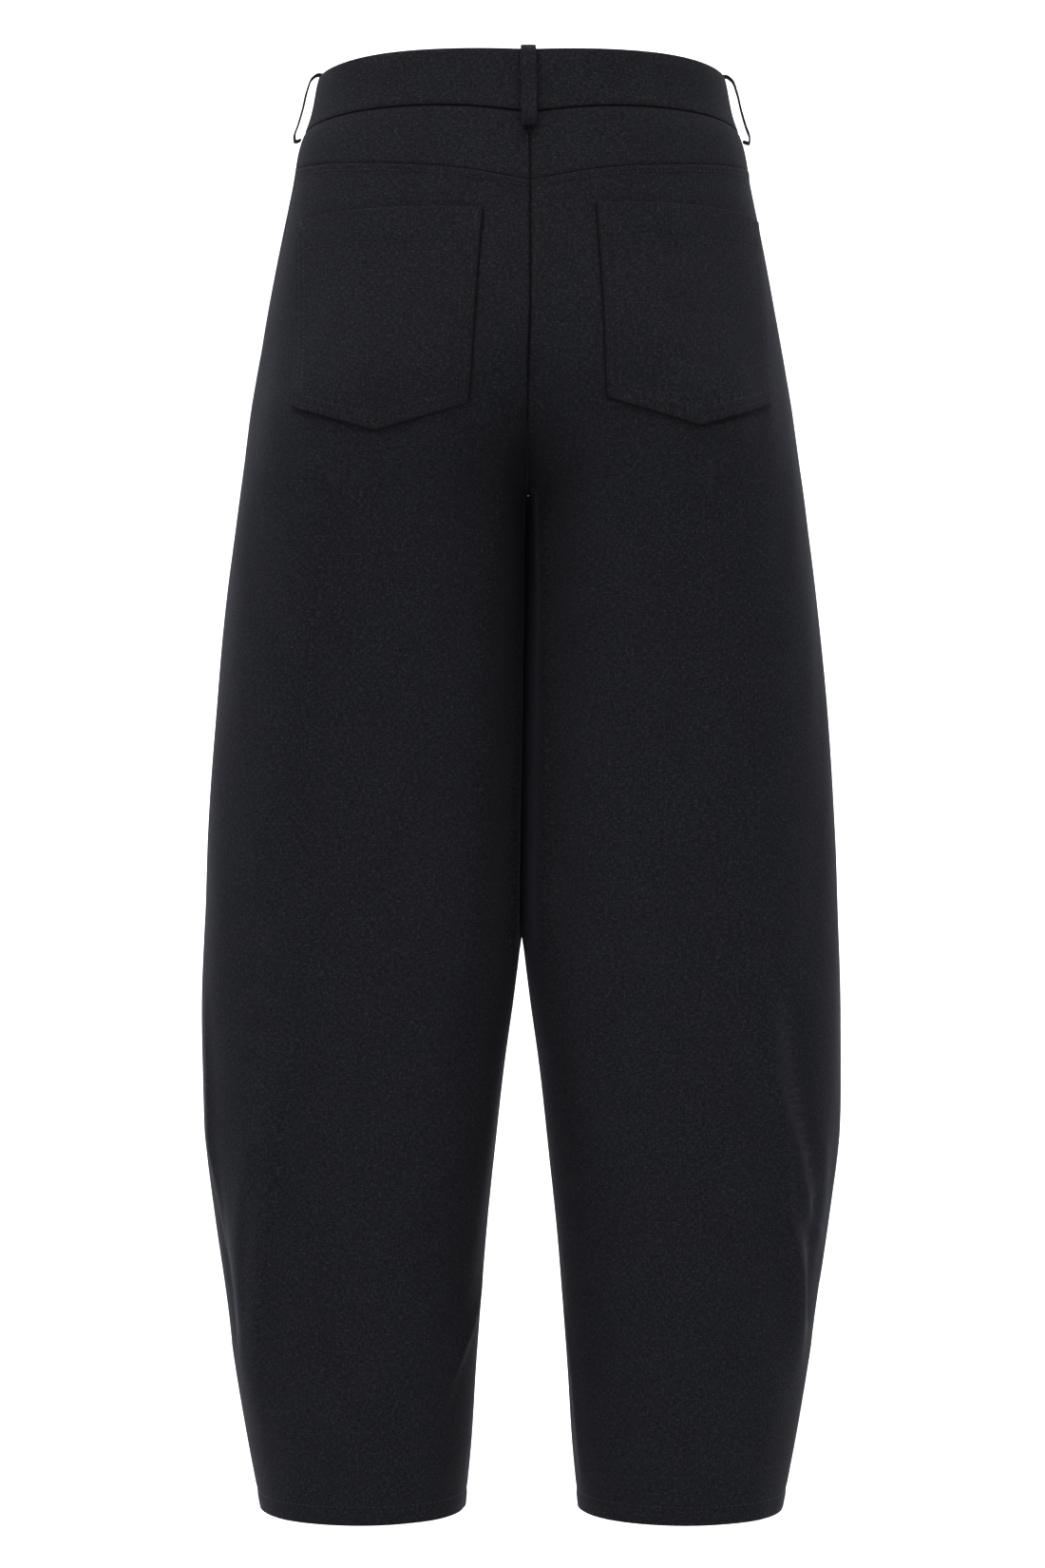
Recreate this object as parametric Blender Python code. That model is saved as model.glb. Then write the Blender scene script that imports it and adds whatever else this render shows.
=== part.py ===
# Barrel leg trousers in wool cloth, filled out as when worn, with no wearer. Metres, +Z up.
# The wearer's front faces -Y and their left is +X. The origin is the middle of the waist,
# halfway up the waistband. Each cut piece of cloth is a thin wall of its own.

import functools
import math

import bmesh
import bpy
import numpy as np

# Thicknesses and clearances.
CLOTH = 0.0012  # one layer of the wool cloth
BAND_CLOTH = 0.0026  # the waistband is two layers and a stiffener
STRIP_CLOTH = 0.0013  # a belt loop is folded cloth, pressed flat
SEAM = 0.0003  # left open between two pieces
BAND_PROUD = 0.0006  # the band's face stands this far out of the panels below it

# Heights that the sections and the seams share.
CROTCH = -0.2592
HEM = -0.9405

# The trousers' horizontal sections, one row a height. All are lengths but the splits and square.
#   outer        from the middle of the garment to the side
#   split_back   0 where the two halves are one round body, 1 where each leg is closed
#   split_front  the same for the front
#   apart        from the centre line to a leg's inner wall
#   back, front  how far the section reaches to +Y and to -Y
#   square       2 is an ellipse, more is squarer
#   centre       where the centre seams lie in X, as the garment sits a little turned
#   side_back    how far behind the widest point the side seam lies
SECTION_COLUMNS = (
    "height", "outer", "split_back", "split_front", "apart", "back", "front", "square", "centre", "side_back",
)
SECTIONS = (
    (0.0320, 0.1340, 0.00, 0.00, 0.0000, 0.0985, 0.0965, 2.10, -0.0045, 0.010),
    (0.0211, 0.1363, 0.00, 0.00, 0.0000, 0.1000, 0.0980, 2.10, -0.0045, 0.012),
    (-0.0122, 0.1434, 0.00, 0.00, 0.0000, 0.1040, 0.1010, 2.10, -0.0050, 0.014),
    (-0.0237, 0.1482, 0.00, 0.00, 0.0000, 0.1060, 0.1025, 2.12, -0.0050, 0.015),
    (-0.0544, 0.1542, 0.00, 0.00, 0.0000, 0.1110, 0.1060, 2.15, -0.0055, 0.017),
    (-0.1056, 0.1645, 0.04, 0.02, 0.0000, 0.1200, 0.1120, 2.18, -0.0055, 0.018),
    (-0.1320, 0.1692, 0.12, 0.06, 0.0000, 0.1240, 0.1145, 2.20, -0.0055, 0.016),
    (-0.1568, 0.1734, 0.28, 0.14, 0.0000, 0.1262, 0.1170, 2.22, -0.0055, 0.012),
    (-0.1820, 0.1775, 0.54, 0.30, 0.0000, 0.1272, 0.1188, 2.25, -0.0052, 0.008),
    (-0.2080, 0.1818, 0.81, 0.58, 0.0000, 0.1266, 0.1200, 2.28, -0.0050, 0.005),
    (-0.2260, 0.1843, 0.915, 0.79, 0.0000, 0.1252, 0.1206, 2.29, -0.0048, 0.004),
    (-0.2420, 0.1864, 0.97, 0.93, 0.0000, 0.1236, 0.1208, 2.30, -0.0046, 0.003),
    (CROTCH, 0.1888, 1.00, 1.00, 0.0002, 0.1215, 0.1210, 2.32, -0.0044, 0.002),
    (-0.2800, 0.1916, 1.00, 1.00, 0.0010, 0.1185, 0.1205, 2.32, -0.0040, 0.000),
    (-0.3360, 0.1984, 1.00, 1.00, 0.0011, 0.1115, 0.1180, 2.32, -0.0032, 0.000),
    (-0.4128, 0.2054, 1.00, 1.00, 0.0011, 0.1050, 0.1120, 2.32, -0.0020, 0.000),
    (-0.4896, 0.2106, 1.00, 1.00, 0.0011, 0.1010, 0.1060, 2.32, -0.0010, 0.000),
    (-0.5408, 0.2125, 1.00, 1.00, 0.0011, 0.0988, 0.1015, 2.30, -0.0003, 0.000),
    (-0.5920, 0.2144, 1.00, 1.00, 0.0045, 0.0970, 0.0975, 2.28, 0.0000, 0.000),
    (-0.6432, 0.2144, 1.00, 1.00, 0.0115, 0.0950, 0.0940, 2.26, 0.0000, 0.000),
    (-0.6944, 0.2131, 1.00, 1.00, 0.0173, 0.0925, 0.0912, 2.24, 0.0000, 0.000),
    (-0.7456, 0.2074, 1.00, 1.00, 0.0227, 0.0890, 0.0880, 2.22, 0.0000, 0.000),
    (-0.7968, 0.1997, 1.00, 1.00, 0.0269, 0.0848, 0.0838, 2.18, 0.0000, 0.000),
    (-0.8480, 0.1920, 1.00, 1.00, 0.0307, 0.0800, 0.0790, 2.14, 0.0000, 0.000),
    (-0.8992, 0.1837, 1.00, 1.00, 0.0339, 0.0745, 0.0730, 2.08, 0.0000, 0.000),
    (HEM, 0.1758, 1.00, 1.00, 0.0380, 0.0698, 0.0680, 2.04, 0.0000, 0.000),
)

# The largest folds, as soft ridges (height above 0) or troughs (below 0) that run down a leg.
# Angles are round the leg, in degrees: 0 at its outer side, 90 at the back and -90 at the front.
FOLD_COLUMNS = ("side", "top", "bottom", "angle_top", "angle_bottom", "width", "height")
FOLDS = (
    (1, -0.240, -0.640, 62.0, 67.0, 15.0, 0.0022),
    (1, -0.600, -0.880, 67.0, 34.0, 14.0, 0.0026),
    (-1, -0.270, -0.640, 72.0, 60.0, 15.0, 0.0022),
    (-1, -0.600, -0.850, 62.0, 30.0, 13.0, 0.0030),
    (-1, -0.650, -0.790, 50.0, 10.0, 10.0, 0.0026),
    (-1, -0.690, -0.830, 24.0, 16.0, 12.0, -0.0030),
    (1, -0.690, -0.830, 14.0, 12.0, 12.0, -0.0022),
    (1, -0.300, -0.700, -70.0, -62.0, 16.0, 0.0022),
    (-1, -0.280, -0.720, -66.0, -64.0, 16.0, 0.0022),
    (1, -0.660, -0.860, -58.0, -24.0, 13.0, 0.0026),
    (-1, -0.640, -0.840, -60.0, -28.0, 13.0, 0.0024),
)

# Seam lines: heights along a panel from its side seam (0) to its centre seam (1).
SEAM_ACROSS = (0.0, 0.42, 0.80, 1.0)
BAND_TOP = {1: (0.0195, 0.0232, 0.0222, 0.0200), -1: (0.0195, 0.0200, 0.0180, 0.0165)}
BAND_LOW = {1: (-0.0180, -0.0138, -0.0160, -0.0205), -1: (-0.0180, -0.0180, -0.0200, -0.0215)}
YOKE_LOW = (-0.0440, -0.0500, -0.0580, -0.0655)

# Cells of the panels' walls: round the body, above the crotch and below it.
PANEL_COLUMNS = 16
ROWS_ABOVE = 11
ROWS_BELOW = 19
BAND_COLUMNS = 26
RAMP_COLUMNS = 3
LAP_COLUMNS = 4

# The back patch pockets.
POCKET_COLUMNS = ("name", "side", "axis", "top")
POCKETS = (
    ("back_pocket_left", 1, 0.094, -0.0840),
    ("back_pocket_right", -1, 0.114, -0.0805),
)
POCKET_TOP_WIDTH = 0.145
POCKET_LOW_WIDTH = 0.121
POCKET_SIDE = 0.127  # down its straight sides
POCKET_POINT = 0.145  # down its middle, to the point
POCKET_CROWN = 0.0022  # the opening's edge rises this much in the middle

# A piece laid over a curved panel, or behind it, clears the flats between the panel's points too.
LAID_CLEARANCE = 0.0005
BEHIND_CLEARANCE = 0.0008

# The belt loops: side, half, the place from a panel's side seam (0) to its centre seam (1), lowest point.
LOOP_COLUMNS = ("name", "side", "half", "across", "low")
LOOPS = (
    ("belt_loop_back", 1, 1, 1.0, -0.0300),
    ("belt_loop_left", 1, 1, -0.035, -0.0250),
    ("belt_loop_right", -1, 1, -0.015, -0.0250),
)
LOOP_WIDTH = 0.0100
LOOP_STAND_OFF = 0.0058  # from the band's face to the strip's back

# The front fastening.
LAP_OVER = 0.020  # the left band end passes the centre front by this
LAP_UNDER = 0.022  # the right band end passes it under the left one
LAP_RAMP = 0.012  # the left one rises to its lap over this length
FLY_WIDTH = 0.042
FLY_LENGTH = 0.168
FLY_PAST_CENTRE = 0.010
ZIP_WIDTH = 0.026
ZIP_LENGTH = 0.146
ZIP_CLOTH = 0.0009
SLIDER_WIDTH = 0.0085
SLIDER_LENGTH = 0.0110
SLIDER_CLOTH = 0.0024
BUTTON_RADIUS = 0.0085
BUTTON_HEIGHT = 0.0032

RING_STEPS = 120  # points traced round half a section before it is measured
REACH = 0.7  # radians that a trace goes past the widest point, to the other half
NEAR = 0.003  # how far apart, as a share of a piece, its slopes are read


def smooth(where, knots, values):
    """A curve through the values, with slopes read from the neighbouring rows."""
    knots = np.asarray(knots, float)
    values = np.asarray(values, float)
    slopes = np.gradient(values, knots)
    i = np.clip(np.searchsorted(knots, where) - 1, 0, len(knots) - 2)
    span = knots[i + 1] - knots[i]
    u = (where - knots[i]) / span
    rise = values[i + 1] - values[i]
    curve = values[i] + u * u * (3 - 2 * u) * rise
    return curve + span * u * (1 - u) * ((1 - u) * slopes[i] - u * slopes[i + 1])


def section(z):
    """The section's values at a height, by column name."""
    rows = np.array(SECTIONS)[::-1]
    return {name: float(smooth(z, rows[:, 0], rows[:, i])) for i, name in enumerate(SECTION_COLUMNS)}


def half_sizes(row, side, half):
    """Centre, half width and depth of one half of a leg's section, and the centre line."""
    line = side * row["centre"]
    split = row["split_back"] if half > 0 else row["split_front"]
    inner = line + max(row["apart"], 0.0) - (1 - split) * row["outer"]
    depth = row["back"] if half > 0 else row["front"]
    return (row["outer"] + inner) / 2, (row["outer"] - inner) / 2, depth, line


def on_ellipse(angle, power):
    """Cosine and sine bent towards a squarer section."""
    c, s = np.cos(angle), np.sin(angle)
    return np.sign(c) * np.abs(c) ** (2 / power), np.sign(s) * np.abs(s) ** (2 / power)


def fold_lift(side, z, angle):
    """How far the folds push the cloth out at these angles, which are below 0 in front."""
    lift = np.zeros_like(angle)
    for values in FOLDS:
        fold = dict(zip(FOLD_COLUMNS, values))
        if fold["side"] != side or not fold["bottom"] < z < fold["top"]:
            continue
        down = (fold["top"] - z) / (fold["top"] - fold["bottom"])
        middle = fold["angle_top"] + down * (fold["angle_bottom"] - fold["angle_top"])
        away = (np.degrees(angle) - middle) / fold["width"]
        lift += fold["height"] * math.sin(math.pi * down) ** 0.8 * np.exp(-away * away)
    return lift


@functools.cache
def trace(side, half, z):
    """One half of a section from just past its widest point to its centre seam or inseam.

    It gives the points, the outward directions and the length along the section, which is 0 at
    the widest point, and where the panel's two edges lie on that length.
    """
    row = section(z)
    power = row["square"]
    middle, radius, depth, line = half_sizes(row, side, half)
    reach = np.clip((line + SEAM / 2.5 - middle) / radius, -1, 1)
    end = math.acos(np.sign(reach) * abs(reach) ** (power / 2))
    angle = np.concatenate([
        np.linspace(-REACH, 0, RING_STEPS // 6, endpoint=False),
        np.linspace(0, min(end + REACH / 2, math.pi), RING_STEPS),
    ])
    c, s = on_ellipse(angle, power)
    other_middle, other_radius, other_depth, _ = half_sizes(row, side, -half)
    ahead = angle >= 0
    x = np.where(ahead, middle + radius * c, other_middle + other_radius * c)
    y = half * np.where(ahead, depth * s, other_depth * s)
    along_x, along_y = np.gradient(x, angle), np.gradient(y, angle)
    size = np.hypot(along_x, along_y)
    out_x, out_y = half * along_y / size, -half * along_x / size
    lift = fold_lift(side, z, half * angle)
    x, y = x + out_x * lift, y + out_y * lift
    length = np.concatenate([[0], np.cumsum(np.hypot(np.diff(x), np.diff(y)))])
    length -= np.interp(0, angle, length)
    shift = row["side_back"] - line
    return {
        "x": x, "y": y, "out_x": out_x, "out_y": out_y, "length": length,
        "start": half * shift + SEAM / 2,
        "end": float(np.interp(end, angle, length)) - SEAM / 2.5,
    }


def place_at(traced, side, length, z, lift=0.0):
    """The point at this length along a traced section, moved out by lift."""
    x, y, out_x, out_y = (
        float(np.interp(length, traced["length"], traced[name])) for name in ("x", "y", "out_x", "out_y")
    )
    return side * (x + lift * out_x), y + lift * out_y, z


def panel_point(side, half, across, z, lift=0.0):
    """A point of a panel: across is 0 at its side seam and 1 at its centre seam or inseam."""
    traced = trace(side, half, z)
    length = traced["start"] + across * (traced["end"] - traced["start"])
    return place_at(traced, side, length, z, lift)


def cloth_object(name, columns, rows, place, thickness, material, facing=1, level_ends=True):
    """A wall whose outer face lies where place(u, v) says, u across and v downwards.

    facing is 1 where u runs to the left, as seen from outside, and -1 where it runs to the right.
    level_ends keeps the top and bottom edges of the wall level, so that it clears the next piece.
    """
    bm = bmesh.new()
    bmesh.ops.create_grid(bm, x_segments=columns, y_segments=rows, size=0.5)
    grown = bmesh.ops.extrude_face_region(bm, geom=bm.faces[:])
    inner = {item for item in grown["geom"] if isinstance(item, bmesh.types.BMVert)}
    for vert in bm.verts:
        u, v = vert.co.x + 0.5, 0.5 - vert.co.y
        point = np.array(place(u, v))
        if vert in inner:
            across = np.subtract(place(min(u + NEAR, 1.0), v), place(max(u - NEAR, 0.0), v))
            upwards = np.subtract(place(u, max(v - NEAR, 0.0)), place(u, min(v + NEAR, 1.0)))
            normal = np.cross(across, upwards) * facing
            if level_ends and not 0.001 < v < 0.999:
                normal[2] = 0.0
            point = point - thickness * normal / np.linalg.norm(normal)
        vert.co = point
    bmesh.ops.recalc_face_normals(bm, faces=bm.faces[:])
    if bm.calc_volume(signed=True) < 0:
        bmesh.ops.reverse_faces(bm, faces=bm.faces[:])
    mesh = bpy.data.meshes.new(name)
    bm.to_mesh(mesh)
    bm.free()
    return new_object(name, mesh, material)


def new_object(name, mesh, material):
    mesh.materials.append(material)
    mesh.shade_smooth()
    obj = bpy.data.objects.new(name, mesh)
    bpy.context.scene.collection.objects.link(obj)
    return obj


def finish(name, colour, roughness, metallic=0.0):
    material = bpy.data.materials.new(name)
    material.use_nodes = True
    shader = material.node_tree.nodes["Principled BSDF"]
    shader.inputs["Base Color"].default_value = (*colour, 1.0)
    shader.inputs["Roughness"].default_value = roughness
    shader.inputs["Metallic"].default_value = metallic
    return material


def seam_height(values, across):
    return float(smooth(min(max(across, 0.0), 1.0), SEAM_ACROSS, values))


def panel_rows(top):
    """Heights of a long panel's rows, closer together near the crotch, where the seam turns."""
    above = [CROTCH + (top - CROTCH) * (1 - k / ROWS_ABOVE) ** 1.7 for k in range(ROWS_ABOVE)]
    below = [CROTCH + (HEM - CROTCH) * k / ROWS_BELOW for k in range(ROWS_BELOW + 1)]
    return above + below


def long_panel(name, side, half, top_edge, material):
    """A back or front panel, from the seam at its top edge down to the hem."""
    top = top_edge(0.0)
    rows = panel_rows(top)

    def place(u, v):
        z = float(np.interp(v * (len(rows) - 1), range(len(rows)), rows))
        fade = max(0.0, (z - CROTCH) / (top - CROTCH))
        return panel_point(side, half, u, z + (top_edge(u) - top) * fade)

    cloth_object(name, PANEL_COLUMNS, len(rows) - 1, place, CLOTH, material, side * half)


def yoke(name, side, material):
    def place(u, v):
        high = seam_height(BAND_LOW[1], u) - SEAM
        low = seam_height(YOKE_LOW, u) + SEAM / 2
        return panel_point(side, 1, u, high + (low - high) * v)

    cloth_object(name, PANEL_COLUMNS, 3, place, CLOTH, material, side)


def waistband(name, side, material):
    """Half of the band, from the centre back round to the front, where the left end laps over the right."""
    back, front = trace(side, 1, 0.0), trace(side, -1, 0.0)
    lap = LAP_OVER if side > 0 else LAP_UNDER
    ramp_end = LAP_UNDER + 0.2 * LAP_RAMP - front["end"]
    columns = np.concatenate([
        np.linspace(back["end"], ramp_end + LAP_RAMP, BAND_COLUMNS, endpoint=False),
        np.linspace(ramp_end + LAP_RAMP, ramp_end, RAMP_COLUMNS, endpoint=False),
        np.linspace(ramp_end, -front["end"] - lap, LAP_COLUMNS + 1),
    ])

    def place(u, v):
        along = float(np.interp(u * (len(columns) - 1), range(len(columns)), columns))
        half, reach = (1, back) if along > back["start"] else (-1, front)
        across = (half * along - reach["start"]) / (reach["end"] - reach["start"])
        level = 1 - abs(1 - across)
        high, low = seam_height(BAND_TOP[half], level), seam_height(BAND_LOW[half], level)
        z = high + (low - high) * v
        lift = BAND_PROUD
        to_centre = (1 - across) * (reach["end"] - reach["start"])
        if side > 0 and half < 0:
            rise = min(max((LAP_UNDER + LAP_RAMP - to_centre) / (0.8 * LAP_RAMP), 0.0), 1.0)
            lift += (BAND_CLOTH + SEAM) * rise * rise * (3 - 2 * rise)
        traced = trace(side, half, z)
        length = traced["start"] + min(across, 1.0) * (traced["end"] - traced["start"])
        return place_at(traced, side, length + max(-to_centre, 0.0), z, lift)

    cloth_object(name, len(columns) - 1, 3, place, BAND_CLOTH, material, -side)


def patch_pocket(name, side, axis, top, material):
    """A pointed patch, laid on the back panel from the panel's own points."""

    def place(u, v):
        across = 2 * u - 1
        deep = POCKET_SIDE + (POCKET_POINT - POCKET_SIDE) * (1 - abs(across))
        z = top - v * deep + POCKET_CROWN * (1 - across * across) * (1 - v)
        half_width = (POCKET_TOP_WIDTH + (POCKET_LOW_WIDTH - POCKET_TOP_WIDTH) * v) / 2
        traced = trace(side, 1, z)
        ahead = traced["length"] >= 0
        middle = float(np.interp(-axis, -traced["x"][ahead], traced["length"][ahead]))
        return place_at(traced, side, middle + across * half_width, z, LAID_CLEARANCE + CLOTH)

    cloth_object(name, 10, 8, place, CLOTH, material, side)


def belt_loop(name, side, half, across, low, material):
    """A strip that runs over the band's top edge and stands off its face."""
    top = seam_height(BAND_TOP[half], across)
    over = top + 2 * SEAM + STRIP_CLOTH
    face = BAND_PROUD + LOOP_STAND_OFF + STRIP_CLOTH
    path = np.array([
        (BAND_PROUD - BAND_CLOTH, over),
        (0.0018, over),
        (0.0048, top - 0.0006),
        (face - 0.0008, top - 0.0085),
        (face, top - 0.0200),
        (face, low + 0.0120),
        (face - 0.0010, low + 0.0038),
        (face - 0.0035, low),
        (0.0008, low + 0.0010),
    ])
    run = np.concatenate([[0], np.cumsum(np.hypot(*np.diff(path, axis=0).T))])
    near = np.array(panel_point(side, half, across - 0.01, 0.0))
    tangent = np.array(panel_point(side, half, across + 0.01, 0.0)) - near
    tangent /= np.linalg.norm(tangent)

    def place(u, v):
        out = float(smooth(v * run[-1], run, path[:, 0]))
        z = float(smooth(v * run[-1], run, path[:, 1]))
        middle = np.array(panel_point(side, half, across, z, out))
        return tuple(middle + (u - 0.5) * LOOP_WIDTH * tangent)

    cloth_object(name, 2, 16, place, STRIP_CLOTH, material, side * half, level_ends=False)


def inner_strip(name, top, length, outer, past, depth, thickness, columns, rows, curve, material):
    """A strip behind the centre front seam, from outer on the left to past on the right."""

    def place(u, v):
        z = top - v * length * (1 - curve * (1 - u) ** 2)
        traced = trace(1, -1, z)
        return place_at(traced, 1, traced["end"] - outer + u * (outer + past), z, -depth)

    cloth_object(name, columns, rows, place, thickness, material, -1)


def zip_slider(name, top, depth, material):
    """The slider at the top of the closed zip, with its tab hanging behind the tape."""
    low = top - SLIDER_LENGTH
    tab_low = low - 1.2 * SLIDER_LENGTH
    tab_face = ZIP_CLOTH + SEAM
    outline = (
        (0.0, top), (SLIDER_CLOTH, top), (SLIDER_CLOTH, low), (SLIDER_CLOTH - 0.0002, tab_low),
        (tab_face, tab_low), (tab_face, low), (0.0, low),
    )
    x, y, _ = panel_point(1, -1, 1.0, (top + low) / 2, -depth)
    _, y_low, _ = panel_point(1, -1, 1.0, tab_low, -depth)
    slope = (y_low - y) / (tab_low - (top + low) / 2)
    bm = bmesh.new()
    verts = [
        bm.verts.new((x - SLIDER_WIDTH / 2, y + slope * (z - (top + low) / 2) + inward, z))
        for inward, z in outline
    ]
    side = bm.faces.new(verts)
    grown = bmesh.ops.extrude_face_region(bm, geom=[side])
    moved = [item for item in grown["geom"] if isinstance(item, bmesh.types.BMVert)]
    bmesh.ops.translate(bm, verts=moved, vec=(SLIDER_WIDTH, 0, 0))
    bmesh.ops.recalc_face_normals(bm, faces=bm.faces[:])
    mesh = bpy.data.meshes.new(name)
    bm.to_mesh(mesh)
    bm.free()
    new_object(name, mesh, material)


def button(name, z, lift, material):
    """A turned button with a raised rim and four holes, flat against the band's lapped end."""
    profile = (
        (0.0, 0.0), (0.72, 0.0), (0.96, 0.25), (1.0, 0.55), (0.92, 0.94), (0.80, 1.0), (0.68, 0.74), (0.0, 0.70),
    )
    bm = bmesh.new()
    verts = [bm.verts.new((r * BUTTON_RADIUS, 0.0, h * BUTTON_HEIGHT)) for r, h in profile]
    edges = [bm.edges.new(pair) for pair in zip(verts, verts[1:])]
    bmesh.ops.spin(
        bm, geom=verts + edges, cent=(0, 0, 0), axis=(0, 0, 1), angle=2 * math.pi, steps=24, use_merge=True
    )
    bmesh.ops.remove_doubles(bm, verts=bm.verts[:], dist=1e-6)
    bmesh.ops.recalc_face_normals(bm, faces=bm.faces[:])
    mesh = bpy.data.meshes.new(name)
    bm.to_mesh(mesh)
    bm.free()
    obj = new_object(name, mesh, material)
    low_point = np.array(panel_point(1, -1, 1.0, z - BUTTON_RADIUS, lift))
    high_point = np.array(panel_point(1, -1, 1.0, z + BUTTON_RADIUS, lift))
    lean = math.atan2(high_point[1] - low_point[1], high_point[2] - low_point[2])
    obj.location = panel_point(1, -1, 1.0, z, lift)
    obj.rotation_euler = (math.pi / 2 - lean, 0, 0)
    for k in range(4):
        turn = math.pi / 4 + k * math.pi / 2
        bm = bmesh.new()
        bmesh.ops.create_cone(
            bm, cap_ends=True, segments=8, radius1=0.0009, radius2=0.0009, depth=3 * BUTTON_HEIGHT
        )
        bmesh.ops.translate(bm, verts=bm.verts[:], vec=(0.0024 * math.cos(turn), 0.0024 * math.sin(turn), 0))
        cutter_mesh = bpy.data.meshes.new(f"{name}_hole_{k}")
        bm.to_mesh(cutter_mesh)
        bm.free()
        cutter = bpy.data.objects.new(f"{name}_hole_{k}", cutter_mesh)
        bpy.context.scene.collection.objects.link(cutter)
        cutter.parent = obj
        cutter.hide_render = True
        cutter.display_type = "WIRE"
        cut = obj.modifiers.new(f"hole_{k}", "BOOLEAN")
        cut.operation = "DIFFERENCE"
        cut.object = cutter


def build():
    for obj in list(bpy.data.objects):
        bpy.data.objects.remove(obj, do_unlink=True)
    wool = finish("wool_cloth", (0.0125, 0.0130, 0.0180), 0.85)
    tape = finish("zip_tape", (0.0100, 0.0100, 0.0130), 0.80)
    metal = finish("dark_nickel", (0.2000, 0.2000, 0.2100), 0.35, 1.0)
    horn = finish("horn_plastic", (0.0150, 0.0130, 0.0120), 0.30)

    for word, side in (("left", 1), ("right", -1)):
        waistband(f"waistband_{word}", side, wool)
        yoke(f"back_yoke_{word}", side, wool)
        long_panel(f"back_{word}", side, 1, lambda u: seam_height(YOKE_LOW, u) - SEAM / 2, wool)
        long_panel(f"front_{word}", side, -1, lambda u: seam_height(BAND_LOW[-1], u) - SEAM, wool)
    for values in POCKETS:
        patch_pocket(*values, wool)
    for values in LOOPS:
        belt_loop(*values, wool)

    zip_top = BAND_LOW[-1][-1] - 0.0020
    zip_depth = CLOTH + BEHIND_CLEARANCE
    zip_slider("zip_slider", zip_top, zip_depth, metal)
    tape_top = zip_top - SLIDER_LENGTH - SEAM
    inner_strip("zip", tape_top, ZIP_LENGTH, ZIP_WIDTH / 2, ZIP_WIDTH / 2, zip_depth, ZIP_CLOTH, 2, 8, 0.0, tape)
    fly_depth = zip_depth + SLIDER_CLOTH + SEAM
    inner_strip("fly_facing", zip_top, FLY_LENGTH, FLY_WIDTH, FLY_PAST_CENTRE, fly_depth, CLOTH, 4, 8, 0.16, wool)
    button("waist_button", -0.0025, BAND_PROUD + BAND_CLOTH + 2 * SEAM, horn)


build()
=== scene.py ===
# Barrel leg trousers in ink navy wool, filled out as when worn, with no wearer.
# Metres, +Z up. The wearer's front faces -Y and their left is +X, so the camera stands at +Y.

import math

import bmesh
import bpy
import numpy as np
from mathutils import Matrix, Vector


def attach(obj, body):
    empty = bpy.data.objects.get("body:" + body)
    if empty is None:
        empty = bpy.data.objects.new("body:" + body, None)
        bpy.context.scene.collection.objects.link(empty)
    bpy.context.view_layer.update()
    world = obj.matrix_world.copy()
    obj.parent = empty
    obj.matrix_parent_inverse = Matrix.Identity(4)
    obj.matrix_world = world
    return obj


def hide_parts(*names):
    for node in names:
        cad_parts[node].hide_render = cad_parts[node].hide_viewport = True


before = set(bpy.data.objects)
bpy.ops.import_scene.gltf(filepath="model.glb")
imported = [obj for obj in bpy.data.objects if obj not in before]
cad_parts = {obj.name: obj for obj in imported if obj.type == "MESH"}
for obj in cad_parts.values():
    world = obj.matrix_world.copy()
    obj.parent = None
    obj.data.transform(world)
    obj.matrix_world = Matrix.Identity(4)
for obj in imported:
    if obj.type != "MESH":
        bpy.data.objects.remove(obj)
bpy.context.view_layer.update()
print("frame loaded:", len(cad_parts), "nodes")

# the body that every cloth piece lies on, as horizontal sections from the waist to the hem
form = {
    "cloth": 0.0012,  # one layer of the wool
    "gap": 0.0003,  # between two pieces
    "crotch": -0.2592,
    "hem": -0.9405,
    "lowest": -0.9430,  # of the table below, which is read between its rows and columns
    "highest": 0.0335,
    "rowStep": 0.0011,
    "acrossLow": -0.22,
    "acrossHigh": 1.22,
    "columns": 289,
    "ringSteps": 120,
    "pastSide": 0.7,  # radians traced beyond the widest point
    "weave": 0.0013,
    "weaveRun": 0.050,
    "forkBend": 0.7,  # share of the weave at the fork
    "calm": (0.03, 0.14),  # depths below the waist between which the slow waves come in
    "seamFade": (-0.01, 0.05),  # places across a panel between which creases and waves come in
    "touchFrom": (0.2585, 0.2680),  # depths between which the legs come to touch
    "touchTo": (-0.572, -0.552),  # heights between which they part again
    "forkFrom": (0.150, 0.190),
    "forkTo": (-0.2600, -0.2570),
}
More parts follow.
